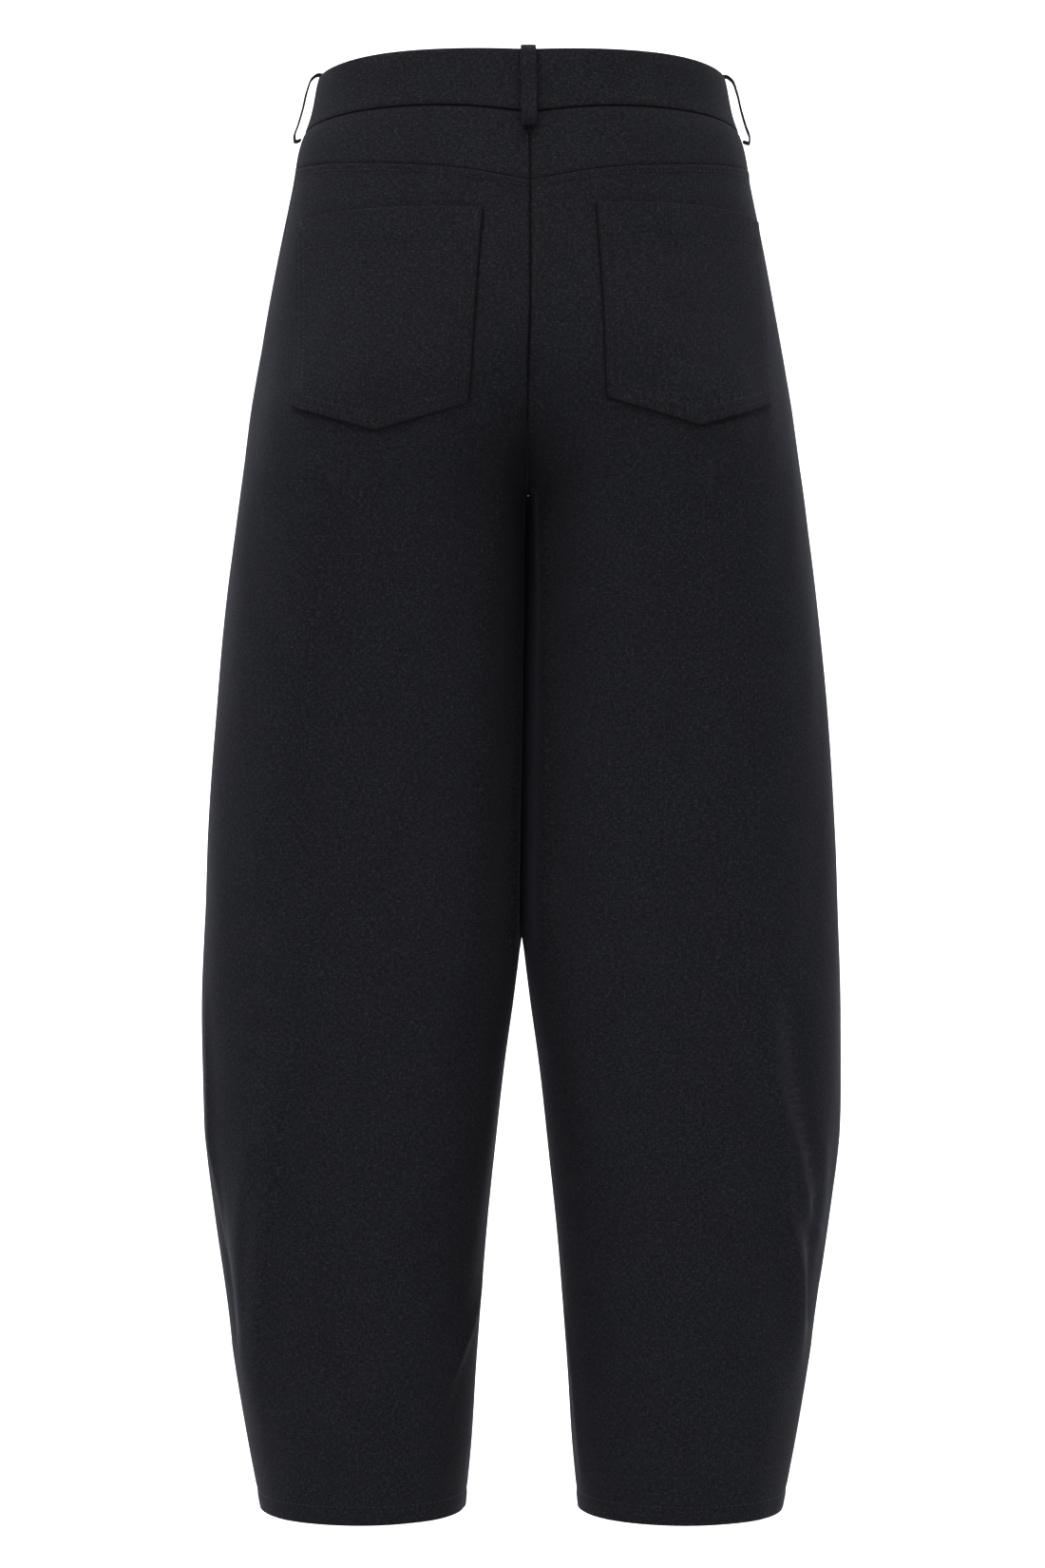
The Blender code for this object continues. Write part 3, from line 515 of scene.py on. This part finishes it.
# a wall of cloth whose outer face is at place(u, v), u across and v down, both from 0 to 1.
# edges says what the left, right, top and bottom edges are: turned into a seam, a soft seam, a
# rounded edge, or one that is pressed flat onto what it is sewn to. facing is 1 where u runs to
# the left as seen from outside.
def clothWall(
    name, place, columns, rows, thickness, edges, facing, dip=0.00055, material=woolCloth, slotName="wool",
):
    bm = bmesh.new()
    bmesh.ops.create_grid(bm, x_segments=len(columns) - 1, y_segments=len(rows) - 1, size=0.5)
    grown = bmesh.ops.extrude_face_region(bm, geom=bm.faces[:])
    inner = [item for item in grown["geom"] if isinstance(item, bmesh.types.BMVert)]
    bmesh.ops.translate(bm, verts=inner, vec=(0, 0, -1))
    mesh = bpy.data.meshes.new(name)
    bm.to_mesh(mesh)
    bm.free()
    flat = np.empty(len(mesh.vertices) * 3, np.float32)
    mesh.vertices.foreach_get("co", flat)
    flat = flat.reshape(-1, 3)
    u = columns[np.rint((flat[:, 0] + 0.5) * (len(columns) - 1)).astype(int)]
    v = rows[np.rint((0.5 - flat[:, 1]) * (len(rows) - 1)).astype(int)]
    isInner = flat[:, 2] < -0.5
    near = edging["slopeStep"]
    uLow, uHigh = np.maximum(u - near, 0), np.minimum(u + near, 1)
    vLow, vHigh = np.maximum(v - near, 0), np.minimum(v + near, 1)
    points = place(u, v)
    acrossStep = (place(uHigh, v) - place(uLow, v)) / (uHigh - uLow)[:, None]
    downStep = (place(u, vHigh) - place(u, vLow)) / (vHigh - vLow)[:, None]
    normal = np.cross(acrossStep, -downStep) * facing
    normal /= np.linalg.norm(normal, axis=1)[:, None]
    acrossSize, downSize = np.linalg.norm(acrossStep, axis=1), np.linalg.norm(downStep, axis=1)
    thick = thickness(u, v) if callable(thickness) else np.full(len(u), thickness)
    distances = (u * acrossSize, (1 - u) * acrossSize, v * downSize, (1 - v) * downSize)
    # the third array is painted shade: it darkens the cloth's colour along its seams and sewn edges, where
    # the groove would lie in shadow
    outerIn, innerOut, tuck = np.zeros(len(u)), np.zeros(len(u)), np.zeros(len(u))
    for edge, distance in zip(edges, distances):
        if edge == "seam":
            # the seam between the legs lies flat, as there is no room to roll in
            lowDown = smoothStep(-points[:, 2], *edging["legSeamFlat"])
            flush = 1 - lowDown * (distance is distances[1])
            outerIn = np.maximum(outerIn, dip * flush * np.exp(-(distance / edging["seamReach"]) ** 1.3))
            tuck = np.maximum(tuck, np.exp(-(distance / edging["seamPaintedShadeReach"]) ** 2))
        elif edge == "soft":
            roll = edging["softDip"] * np.exp(-(distance / edging["softReach"]) ** 2)
            outerIn = np.maximum(outerIn, roll)
            shade = edging["softPaintedShadeStrength"] * np.exp(-(distance / edging["softPaintedShadeReach"]) ** 2)
            tuck = np.maximum(tuck, shade)
        else:
            turned = edging["roundShare"] * rounded(distance, thick / 2)
            outerIn, innerOut = np.maximum(outerIn, turned), np.maximum(innerOut, turned)
            if edge == "pressed":
                tuck = np.maximum(tuck, np.exp(-(distance / edging["pressedPaintedShadeReach"]) ** 2))
    depth = np.where(isInner, thick - innerOut, outerIn)
    points = points - normal * depth[:, None]
    mesh.vertices.foreach_set("co", points.astype(np.float32).ravel())
    corners = np.empty(len(mesh.loops), np.int32)
    mesh.loops.foreach_get("vertex_index", corners)
    shiftAcross, shiftDown = (len(cloths) * step for step in edging["nextPiece"])
    along = v * downSize if downSize.max() < edging["shortPiece"] else -points[:, 2]
    uv = np.stack([(u - 0.5) * acrossSize + shiftAcross, along + shiftDown], axis=1)[corners]
    # the painted seam shade goes to the wool material as a point attribute
    mesh.attributes.new("tuck", "FLOAT", "POINT").data.foreach_set("value", tuck.astype(np.float32))
    layer = mesh.uv_layers.new(name="cloth")
    layer.data.foreach_set("uv", uv.astype(np.float32).ravel())
    bm = bmesh.new()
    bm.from_mesh(mesh)
    bmesh.ops.recalc_face_normals(bm, faces=bm.faces[:])
    if bm.calc_volume(signed=True) < 0:
        bmesh.ops.reverse_faces(bm, faces=bm.faces[:])
    bm.to_mesh(mesh)
    bm.free()
    mesh.shade_smooth()
    mesh.materials.append(material)
    obj = bpy.data.objects.new(f"{name}_cloth", mesh)
    bpy.context.scene.collection.objects.link(obj)
    ridesAs(obj, slotName, name)
    flatSize, area = flatCut(place)
    cloths.append(obj)
    return obj


# legs: the back and front panels, which run from the yoke or the band to the hem
legs = {
    "columns": 116,
    "rowsAbove": 70,
    "rowsBelow": 160,
    "allowance": 0.0005,  # how far a turned seam allowance lifts the cloth over it
    "allowanceFade": (0.0030, 0.0085),
    "allowanceRow": 0.0047,  # the stitched row draws the cloth in here
    "rowDip": 0.0004,
    "rowWidth": 0.0011,
    "hemDeep": 0.0125,
    "hemLift": 0.0004,
    "hemFade": (0.010, 0.0165),
    "hemDip": 0.0005,
    "hemRowWidth": 0.0012,
    "hemDoubled": (0.0115, 0.0135),  # the hem's second layer ends between these heights
    "width": 0.28,  # of a panel, for the spacing of its columns
    "crowding": 1.25,
}


def legPanel(name, side, half, topEdge):
    top = float(topEdge(0.0))
    rise = top - form["crotch"]
    inseam = form["crotch"] - form["hem"]
    down = spaced(rise, legs["rowsAbove"], True, False)
    above = form["crotch"] + rise * (1 - down) ** legs["crowding"]
    below = form["crotch"] - inseam * spaced(inseam, legs["rowsBelow"], False, True)
    heights = np.concatenate([above[:-1], below])
    rows = np.linspace(0, 1, len(heights))
    columns = spaced(legs["width"], legs["columns"])

    def place(u, v):
        z = np.interp(v, rows, heights)
        fade = np.clip((z - form["crotch"]) / (top - form["crotch"]), 0, 1)
        z = z + (topEdge(u) - top) * fade
        below = topEdge(u) - z
        lift = legs["allowance"] * (1 - smoothStep(below, *legs["allowanceFade"])) * (half > 0)
        fromRow = (below - legs["allowanceRow"]) / legs["rowWidth"]
        lift = lift - legs["rowDip"] * np.exp(-fromRow ** 2) * (half > 0)
        up = z - form["hem"]
        lift = lift + legs["hemLift"] * (1 - smoothStep(up, *legs["hemFade"]))
        lift = lift - legs["hemDip"] * np.exp(-((up - legs["hemDeep"]) / legs["hemRowWidth"]) ** 2)
        return garmentPoint(side, half, u, z, lift)

    def thickness(u, v):
        up = np.interp(v, rows, heights) - form["hem"]
        return form["cloth"] * (1 + (1 - smoothStep(up, *legs["hemDoubled"])))

    edges = ("seam", "seam", "soft" if half > 0 else "seam", "round")
    clothWall(name, place, columns, rows, thickness, edges, side * half)


# waistband: two layers and a stiffener, from the centre back to the lapped ends in front
band = {
    "thick": 0.0026,
    "proud": 0.0006,  # its face stands out of the panels below
    "lapOver": 0.020,
    "lapUnder": 0.022,
    "lapRamp": 0.012,
    "roll": 0.0007,  # how far its face falls away at the top edge, over the stiffener
    "lowRoll": 0.6,  # share of that which the lower edge goes without
    "dip": 0.0004,
}


def yoke(name, side):
    def place(u, v):
        high = seamHeight(bandLow[1], u) - form["gap"]
        low = seamHeight(yokeLow, u) + form["gap"] / 2
        return garmentPoint(side, 1, u, high + (low - high) * v)

    clothWall(
        name, place, spaced(0.15, 60), spaced(0.04, 16), form["cloth"], ("seam", "seam", "seam", "soft"),
        side, band["dip"],
    )


def waistband(name, side):
    back, front = forms[side, 1], forms[side, -1]
    level = np.argmin(np.abs(back["heights"]))
    backStart, backStop = back["start"][level], back["stop"][level]
    frontStart, frontStop = front["start"][level], front["stop"][level]
    lap = band["lapOver"] if side > 0 else band["lapUnder"]
    total = backStop + frontStop + lap

    def place(u, v):
        along = backStop - u * total
        isBack = along > backStart
        backAcross = (along - backStart) / (backStop - backStart)
        frontAcross = (-along - frontStart) / (frontStop - frontStart)
        across = np.where(isBack, backAcross, frontAcross)
        even = 1 - np.abs(1 - across)
        high = np.where(isBack, seamHeight(bandTop[1], even), seamHeight(bandTop[-1], even))
        low = np.where(isBack, seamHeight(bandLow[1], even), seamHeight(bandLow[-1], even))
        z = high + (low - high) * v
        lift = np.full_like(z, band["proud"])
        if side > 0:
            toCentre = (1 - frontAcross) * (frontStop - frontStart)
            rise = smoothStep(band["lapUnder"] + band["lapRamp"] - toCentre, 0, 0.8 * band["lapRamp"])
            lift = lift + (band["thick"] + form["gap"]) * rise * ~isBack
        lift = lift - band["roll"] * (2 * np.abs(v - 0.5)) ** 4 * (1 - band["lowRoll"] * (v > 0.5))
        backPoint = garmentPoint(side, 1, backAcross.clip(-0.15, 1.2), z, lift)
        # past the centre the end goes on by its own length, as the width there is another height's
        past = np.maximum(frontAcross - 1, 0) * (frontStop - frontStart) / panelWidth(side, -1, z)
        frontPoint = garmentPoint(side, -1, np.minimum(frontAcross, 1) + past, z, lift)
        return np.where(isBack[..., None], backPoint, frontPoint)

    clothWall(
        name, place, spaced(total, 150), spaced(0.038, 18), band["thick"],
        ("seam", "round", "round", "seam"), -side, band["dip"],
    )


for word, side in (("left", 1), ("right", -1)):
    legPanel(f"back_{word}", side, 1, lambda u: seamHeight(yokeLow, u) - form["gap"] / 2)
    legPanel(f"front_{word}", side, -1, lambda u: seamHeight(bandLow[-1], u) - form["gap"])
    yoke(f"back_yoke_{word}", side)
    waistband(f"waistband_{word}", side)
print("legs, yokes and waistband done")

# back pockets: pointed patches, sewn down with a twin row
pocket = {
    "places": (("back_pocket_left", 1, 0.094, -0.0840), ("back_pocket_right", -1, 0.114, -0.0805)),
    "topWidth": 0.145,
    "lowWidth": 0.121,
    "side": 0.127,  # down its straight sides
    "point": 0.145,  # down its middle
    "crown": 0.0022,
    "offset": 0.00050,  # from the back panel at its sewn edges
    "gape": 0.0011,  # how far the opening stands off
    "allowance": 0.00028,
    "allowanceFade": (0.0085, 0.0135),
    "edgeFade": 0.0015,
    "rows": (0.0050, 0.0103),
    "rowDip": 0.00022,
    "rowWidth": 0.0010,
    "hemLift": 0.0004,
    "hemFade": (0.020, 0.0235),
    "hemRow": 0.0215,
    "hemDip": 0.00028,
    "gapeDeep": 0.022,
    "meanWidth": 0.133,
    "hemWidth": 0.141,
    "rowDeep": 0.134,
    "meanDeep": 0.136,
    "bartacks": ((0.030, 0.078), (0.922, 0.970)),
    "bartackTop": 0.010,
    "bartackStep": 0.0045,
    "sunk": 0.0001,  # the stitches of the rows
}


def pocketPlace(side, axis, top):
    def place(u, v, lift=0.0):
        u, v = np.broadcast_arrays(np.asarray(u, float), np.asarray(v, float))
        across = 2 * u - 1
        deep = pocket["side"] + (pocket["point"] - pocket["side"]) * (1 - np.abs(across))
        z = top - v * deep + pocket["crown"] * (1 - across * across) * (1 - v)
        halfWidth = (pocket["topWidth"] + (pocket["lowWidth"] - pocket["topWidth"]) * v) / 2
        table = forms[side, 1]
        middle = np.interp(z, table["heights"], pocketAxis[side, axis])
        inset = np.minimum(u, 1 - u) * 2 * halfWidth
        below = (1 - v) * deep
        fromTop = v * deep
        edge = np.minimum(inset, below)
        lift = lift + form["cloth"] + pocket["offset"]
        doubled = pocket["allowance"] * (1 - smoothStep(edge, *pocket["allowanceFade"]))
        lift = lift + doubled * smoothStep(edge, 0.0, pocket["edgeFade"])
        lift = lift + pocket["hemLift"] * (1 - smoothStep(fromTop, *pocket["hemFade"]))
        lift = lift + pocket["gape"] * np.exp(-(fromTop / pocket["gapeDeep"]) ** 2) * (1 - across ** 4)
        for row in pocket["rows"]:
            lift = lift - pocket["rowDip"] * np.exp(-((edge - row) / pocket["rowWidth"]) ** 2)
        fromHem = (fromTop - pocket["hemRow"]) / pocket["rowWidth"]
        lift = lift - pocket["hemDip"] * np.exp(-fromHem ** 2)
        start = np.interp(z, table["heights"], table["start"])
        stop = np.interp(z, table["heights"], table["stop"])
        return garmentPoint(side, 1, (middle + across * halfWidth - start) / (stop - start), z, lift)

    return place


# where each pocket's upright middle lies on the panel's length, for each height of the form
pocketAxis = {}
for name, side, axis, top in pocket["places"]:
    table = forms[side, 1]
    columnPlaces = np.linspace(form["acrossLow"], form["acrossHigh"], form["columns"])
    ahead = (columnPlaces > 0) & (columnPlaces < 1)
    pocketAxis[side, axis] = np.array([
        start + np.interp(-axis, -x[ahead], columnPlaces[ahead]) * (stop - start)
        for x, start, stop in zip(table["grid"][0], table["start"], table["stop"])
    ])
for name, side, axis, top in pocket["places"]:
    clothWall(
        name, pocketPlace(side, axis, top), spaced(0.135, 60), spaced(pocket["meanDeep"], 60), form["cloth"],
        ("pressed", "pressed", "round", "pressed"), side,
    )
print("pockets done")

# belt loops: strips folded to 10 mm, over the band's top edge and standing off its face
loop = {
    "places": (
        ("belt_loop_back", 1, 1, 1.0, -0.0300),
        ("belt_loop_left", 1, 1, -0.035, -0.0250),
        ("belt_loop_right", -1, 1, -0.015, -0.0250),
    ),
    "width": 0.0100,
    "thick": 0.0013,
    "standOff": 0.0058,
    "columns": 8,
    "rows": 97,
}


def loopPlace(side, half, across, low):
    top = float(seamHeight(bandTop[half], across))
    over = top + 2 * form["gap"] + loop["thick"]
    face = band["proud"] + loop["standOff"] + loop["thick"]
    # the strip's side view, out from the band and up: over the top edge, down the face and tucked in
    path = np.array([
        (band["proud"] - band["thick"], over), (0.0018, over), (0.0048, top - 0.0006),
        (face - 0.0008, top - 0.0085), (face, top - 0.0200), (face, low + 0.0120),
        (face - 0.0010, low + 0.0038), (face - 0.0035, low), (0.0002, low + 0.0012),
    ])
    run = np.concatenate([[0], np.cumsum(np.hypot(*np.diff(path, axis=0).T))])
    ends = garmentPoint(side, half, np.array([across - 0.01, across + 0.01]), 0.0, 0.0, False)
    tangent = (ends[1] - ends[0]) / np.linalg.norm(ends[1] - ends[0])

    def place(u, v, lift=0.0):
        u, v = np.broadcast_arrays(np.asarray(u, float), np.asarray(v, float))
        out = smoothThrough(v * run[-1], run, path[:, 0])
        z = smoothThrough(v * run[-1], run, path[:, 1])
        # the folded strip is slightly fuller in its middle than at its pressed edges
        z = z + 0.0002 * (1 - (2 * u - 1) ** 2) * np.exp(-(v / 0.12) ** 2)
        middle = garmentPoint(side, half, np.full_like(z, across), z, out + lift, False)
        return middle + ((u - 0.5) * loop["width"])[..., None] * tangent

    return place


for name, side, half, across, low in loop["places"]:
    clothWall(
        name, loopPlace(side, half, across, low), spaced(loop["width"], loop["columns"]),
        np.linspace(0, 1, loop["rows"]), loop["thick"], ("round",) * 4, side * half,
    )
print("belt loops done")

# the front closing: facing, zip tape and teeth behind the centre front seam
fly = {
    "clear": 0.0008,
    "width": 0.042,
    "length": 0.168,
    "past": 0.010,
    "curve": 0.16,
    "tapeWidth": 0.026,
    "tapeLength": 0.146,
    "tapeThick": 0.0009,
    "sliderLength": 0.0110,
    "sliderDeep": 0.0024,
    "tooth": (0.0042, 0.0012, 0.0010),
    "toothPitch": 0.0018,
    "toothMargin": 0.002,
    "toothSunk": 0.4,
    "toothShift": 0.0006,
    "toothBevel": 0.00018,
    "sewnDrop": 0.004,
    "sewnLength": 0.150,
    "sewnInset": 0.037,
    "sewnTurn": 0.72,  # where the row leaves the straight for its curve
}
zipTop = bandLow[-1][-1] - 0.0020
zipDepth = form["cloth"] + fly["clear"]
tapeTop = zipTop - fly["sliderLength"] - form["gap"]
flyDepth = zipDepth + fly["sliderDeep"] + form["gap"]


def stripPlace(top, length, outer, past, depth, curve):
    def place(u, v, lift=0.0):
        u, v = np.broadcast_arrays(np.asarray(u, float), np.asarray(v, float))
        z = top - v * length * (1 - curve * (1 - u) ** 2)
        across = 1 + (-outer + u * (outer + past)) / panelWidth(1, -1, z)
        return garmentPoint(1, -1, across, z, lift - depth, False)

    return place


flyPlace = stripPlace(zipTop, fly["length"], fly["width"], fly["past"], flyDepth, fly["curve"])
clothWall(
    "fly_facing", flyPlace, spaced(0.05, 24), spaced(0.15, 50), form["cloth"], ("round",) * 4, -1,
)
halfTape = fly["tapeWidth"] / 2
tapePlace = stripPlace(tapeTop, fly["tapeLength"], halfTape, halfTape, zipDepth, 0.0)
clothWall(
    "zip", tapePlace, spaced(fly["tapeWidth"], 12), spaced(fly["tapeLength"], 50), fly["tapeThick"],
    ("round",) * 4, -1, material=zipTape, slotName="tape",
)


def meshObject(name, bm, material, slotName, *replaced):
    mesh = bpy.data.meshes.new(name)
    bm.to_mesh(mesh)
    bm.free()
    mesh.shade_smooth()
    mesh.materials.append(material)
    obj = bpy.data.objects.new(name, mesh)
    bpy.context.scene.collection.objects.link(obj)
    return ridesAs(obj, slotName, *replaced)


# teeth: small bevelled blocks on the tape's inner side, in turn a little to either side
bm = bmesh.new()
toothWidth, toothDeep, toothHigh = fly["tooth"]
for k in range(int((fly["tapeLength"] - 2 * fly["toothMargin"]) / fly["toothPitch"])):
    v = (fly["toothMargin"] + k * fly["toothPitch"]) / fly["tapeLength"]
    middle = Vector(tapePlace(0.5, v, -fly["tapeThick"] - fly["toothSunk"] * toothDeep))
    middle.x += fly["toothShift"] * (-1) ** k
    size = Matrix.Diagonal((toothWidth, toothDeep, toothHigh, 1))
    bmesh.ops.create_cube(bm, size=1.0, matrix=Matrix.Translation(middle) @ size)
bmesh.ops.bevel(
    bm, geom=bm.edges[:], offset=fly["toothBevel"], affect="EDGES", segments=1, profile=0.5, material=-1
)
teeth = meshObject("zip_teeth", bm, nickel, "metal")
for polygon in teeth.data.polygons:
    polygon.use_smooth = False
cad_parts["zip_slider"].material_slots[0].material = nickel
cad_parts["waist_button"].material_slots[0].material = hornResin
print("closing done")

# sewing: rows of separate stitches that sit on the cloth
sewing = {
    "pitch": 0.0034,
    "stitch": 0.0027,  # seen length of one stitch
    "wide": 0.00050,
    "high": 0.00040,
    "yokeRow": 0.0047,  # below the yoke seam
    "lift": 0.00012,
    "outward": 0.00112,  # a second point this far out gives the stitch its upright
}


def sewRow(bm, points, outward):
    run = np.concatenate([[0], np.cumsum(np.linalg.norm(np.diff(points, axis=0), axis=1))])
    count = int(run[-1] / sewing["pitch"])
    margin = (run[-1] - count * sewing["pitch"] + sewing["pitch"] - sewing["stitch"]) / 2
    for k in range(count):
        begin = margin + k * sewing["pitch"]
        ends = [
            Vector([np.interp(where, run, points[:, axis]) for axis in range(3)])
            for where in (begin, begin + sewing["stitch"])
        ]
        out = Vector([np.interp(begin, run, outward[:, axis]) for axis in range(3)]).normalized()
        along = (ends[1] - ends[0]).normalized()
        sideways = along.cross(out).normalized()
        out = sideways.cross(along)
        turn = Matrix((along, sideways, out)).transposed().to_4x4()
        size = Matrix.Diagonal((sewing["stitch"], sewing["wide"], sewing["high"], 1))
        middle = (ends[0] + ends[1]) / 2
        place = Matrix.Translation(middle) @ turn @ size
        bmesh.ops.create_icosphere(bm, subdivisions=1, radius=0.5, matrix=place)


# the row that place(t, lift) draws for t from 0 to 1
def sewAlong(bm, place, count=160):
    t = np.linspace(0, 1, count)
    points = place(t, sewing["lift"])
    sewRow(bm, points, place(t, sewing["outward"]) - points)


def panelRow(side, half, across, height, lift=0.0):
    def place(t, more):
        u = across(t)
        return garmentPoint(side, half, u, height(t, u), lift + more)

    return place


for word, side in (("left", 1), ("right", -1)):
    bm = bmesh.new()
    sewAlong(bm, panelRow(
        side, 1, lambda t: 0.006 + 0.988 * t, lambda t, u: seamHeight(yokeLow, u) - sewing["yokeRow"], 0.0001
    ))
    meshObject(f"yoke_stitching_{word}", bm, sewingThread, "wool")
    bm = bmesh.new()
    for half in (1, -1):
        sewAlong(bm, panelRow(
            side, half, lambda t: 0.004 + 0.992 * t,
            lambda t, u: form["hem"] + legs["hemDeep"] + 0 * u, -0.0003
        ))
    meshObject(f"hem_stitching_{word}", bm, sewingThread, "wool")

# pocket rows: down one side, along the point and up the other, then the row of the opening's hem
for name, side, axis, top in pocket["places"]:
    place = pocketPlace(side, axis, top)
    bm = bmesh.new()
    for inset in pocket["rows"]:
        uIn, vLow = inset / pocket["meanWidth"], 1 - inset / pocket["rowDeep"]
        corners = ((uIn, 0.012), (uIn, vLow), (0.5, vLow), (1 - uIn, vLow), (1 - uIn, 0.012))
        for (u0, v0), (u1, v1) in zip(corners, corners[1:]):
            sewAlong(bm, lambda t, more: place(
                u0 + (u1 - u0) * t, v0 + (v1 - v0) * t, more - pocket["sunk"]
            ), 80)
    vHem = pocket["hemRow"] / pocket["meanDeep"]
    uFrom = pocket["rows"][1] / pocket["hemWidth"]
    sewAlong(bm, lambda t, more: place(
        uFrom + (1 - 2 * uFrom) * t, vHem + 0 * t, more - pocket["sunk"]
    ), 120)
    # bartacks: short close rows across the twin rows at both top corners
    for u0, u1 in pocket["bartacks"]:
        for k in range(7):
            vBar = pocket["bartackTop"] + pocket["bartackStep"] * k
            sewAlong(bm, lambda t, more: place(u0 + (u1 - u0) * t, vBar + 0 * t, more), 20)
    meshObject(name.replace("back_pocket", "pocket_stitching"), bm, sewingThread, "wool")

# the fly's curved row on the left front
bm = bmesh.new()


def flyRow(t, more):
    z = zipTop - fly["sewnDrop"] - t * fly["sewnLength"]
    intoCurve = np.clip((t - fly["sewnTurn"]) / (1 - fly["sewnTurn"]), 0, 1)
    inset = fly["sewnInset"] * np.sqrt(np.clip(1 - intoCurve ** 2, 0, 1))
    return garmentPoint(1, -1, 1 - (inset + 0.002) / panelWidth(1, -1, z), z, more)


sewAlong(bm, flyRow, 300)
meshObject("fly_stitching", bm, sewingThread, "wool")

# the thread through the button's holes: three strands across each pair
button = {
    "height": -0.0025,
    "leanFrom": -0.011,
    "leanTo": 0.006,
    "proud": 0.0021,
    "pairs": (-0.0017, 0.0017),
    "strand": (0.0040, 0.0005, 0.0007),
    "strandApart": 0.0004,
}
buttonLift = band["proud"] + band["thick"] + 2 * form["gap"]
buttonSpot = garmentPoint(1, -1, 1.0, button["height"], buttonLift, False)
lean = garmentPoint(1, -1, 1.0, button["leanTo"], 0.0, False)
lean = lean - garmentPoint(1, -1, 1.0, button["leanFrom"], 0.0, False)
upward = Vector(lean).normalized()
outwards = Vector((-1, 0, 0)).cross(upward).normalized()
if outwards.y > 0:
    outwards = -outwards
bm = bmesh.new()
turn = Matrix((upward, outwards.cross(upward), outwards)).transposed().to_4x4()
size = Matrix.Diagonal((*button["strand"], 1))
for dx in button["pairs"]:
    for k in (-1, 0, 1):
        aside = Vector((dx + button["strandApart"] * k, 0, 0))
        spot = Vector(buttonSpot) + outwards * button["proud"] + aside
        place = Matrix.Translation(spot) @ turn @ size
        bmesh.ops.create_uvsphere(bm, u_segments=10, v_segments=8, radius=0.5, matrix=place)
meshObject("button_thread", bm, sewingThread, "wool")
print("sewing done")

# floor, lights and camera
stage = {
    "floor": -1.045,
    "eye": (-0.0005, 2.5, -0.4544),
    "halfView": 0.528,  # half the height in view at the trousers
    "halfWidth": 6.0,
    "near": 5.0,
    "bendFrom": -1.4,  # the paper turns up from here
    "bend": 1.2,
    "bendSteps": 12,
    "top": 6.0,
}


def makeFloor():
    bm = bmesh.new()
    points = [(stage["near"], stage["floor"]), (stage["bendFrom"], stage["floor"])]
    for k in range(1, stage["bendSteps"] + 1):
        turn = math.pi / 2 * k / stage["bendSteps"]
        back = stage["bendFrom"] - stage["bend"] * math.sin(turn)
        points.append((back, stage["floor"] + stage["bend"] * (1 - math.cos(turn))))
    points.append((stage["bendFrom"] - stage["bend"], stage["top"]))
    profile = [bm.verts.new((-stage["halfWidth"], y, z)) for y, z in points]
    edges = [bm.edges.new(pair) for pair in zip(profile, profile[1:])]
    grown = bmesh.ops.extrude_edge_only(bm, edges=edges)
    moved = [item for item in grown["geom"] if isinstance(item, bmesh.types.BMVert)]
    bmesh.ops.translate(bm, verts=moved, vec=(2 * stage["halfWidth"], 0, 0))
    bmesh.ops.recalc_face_normals(bm, faces=bm.faces[:])
    if bm.faces[0].normal.z < 0:
        bmesh.ops.reverse_faces(bm, faces=bm.faces[:])
    mesh = bpy.data.meshes.new("floor")
    bm.to_mesh(mesh)
    bm.free()
    mesh.shade_smooth()
    # matt white paper sweep: nothing on it to draw the eye
    material, shader = newMaterial("whitePaperSweep", {"Roughness": 0.9, "Specular IOR Level": 0.1})
    place = addNode(material, "ShaderNodeTexCoord").outputs["Object"]
    grain = addNode(material, "ShaderNodeTexNoise", {"Scale": 2.0}, {"Vector": place}).outputs["Fac"]
    colour = addNode(
        material, "ShaderNodeValToRGB", {"ramp": ((0.0, "#f8f8f8"), (1.0, "#fbfbfb"))}, {"Fac": grain}
    ).outputs["Color"]
    material.node_tree.links.new(colour, shader.inputs["Base Color"])
    mesh.materials.append(material)
    floor = bpy.data.objects.new("floor", mesh)
    bpy.context.scene.collection.objects.link(floor)


makeFloor()


def areaLight(name, place, target, size, power, colour="#ffffff"):
    data = bpy.data.lights.new(name, "AREA")
    data.shape, data.size, data.size_y = "RECTANGLE", size[0], size[1]
    data.energy, data.color = power, linear(colour)[:3]
    light = bpy.data.objects.new(name, data)
    light.location = place
    light.rotation_euler = (Vector(target) - Vector(place)).to_track_quat("-Z", "Y").to_euler()
    bpy.context.scene.collection.objects.link(light)


areaLight("topLight", (0.2, 1.0, 2.3), (0, 0.1, -0.4), (2.4, 1.6), 105)
areaLight("keyLight", (1.3, 2.9, 1.5), (0, 0, -0.4), (1.4, 1.4), 26)
areaLight("fillLight", (-1.8, 2.4, 0.6), (0, 0, -0.5), (1.4, 1.8), 6)
areaLight("leftRim", (2.3, -0.7, 0.1), (0, 0, -0.45), (0.9, 2.6), 17, "#f0f2ff")
areaLight("rightRim", (-2.3, -0.7, 0.1), (0, 0, -0.45), (0.9, 2.6), 17, "#f0f2ff")
areaLight("backLight", (0, -0.9, 2.6), (0, -2.6, 0.2), (3.5, 1.5), 130)

world = bpy.context.scene.world or bpy.data.worlds.new("World")
bpy.context.scene.world = world
world.use_nodes = True
background = world.node_tree.nodes["Background"]
background.inputs["Color"].default_value = linear("#fbfcff")
background.inputs["Strength"].default_value = 0.30

cameraData = bpy.data.cameras.new("camera")
cameraData.sensor_fit = "VERTICAL"
cameraData.angle = 2 * math.atan(stage["halfView"] / stage["eye"][1])
camera = bpy.data.objects.new("camera", cameraData)
camera.location = stage["eye"]
camera.rotation_euler = (math.pi / 2, 0, math.pi)
bpy.context.scene.collection.objects.link(camera)
bpy.context.scene.camera = camera
bpy.context.scene.view_settings.view_transform = "Standard"
print("stage set")
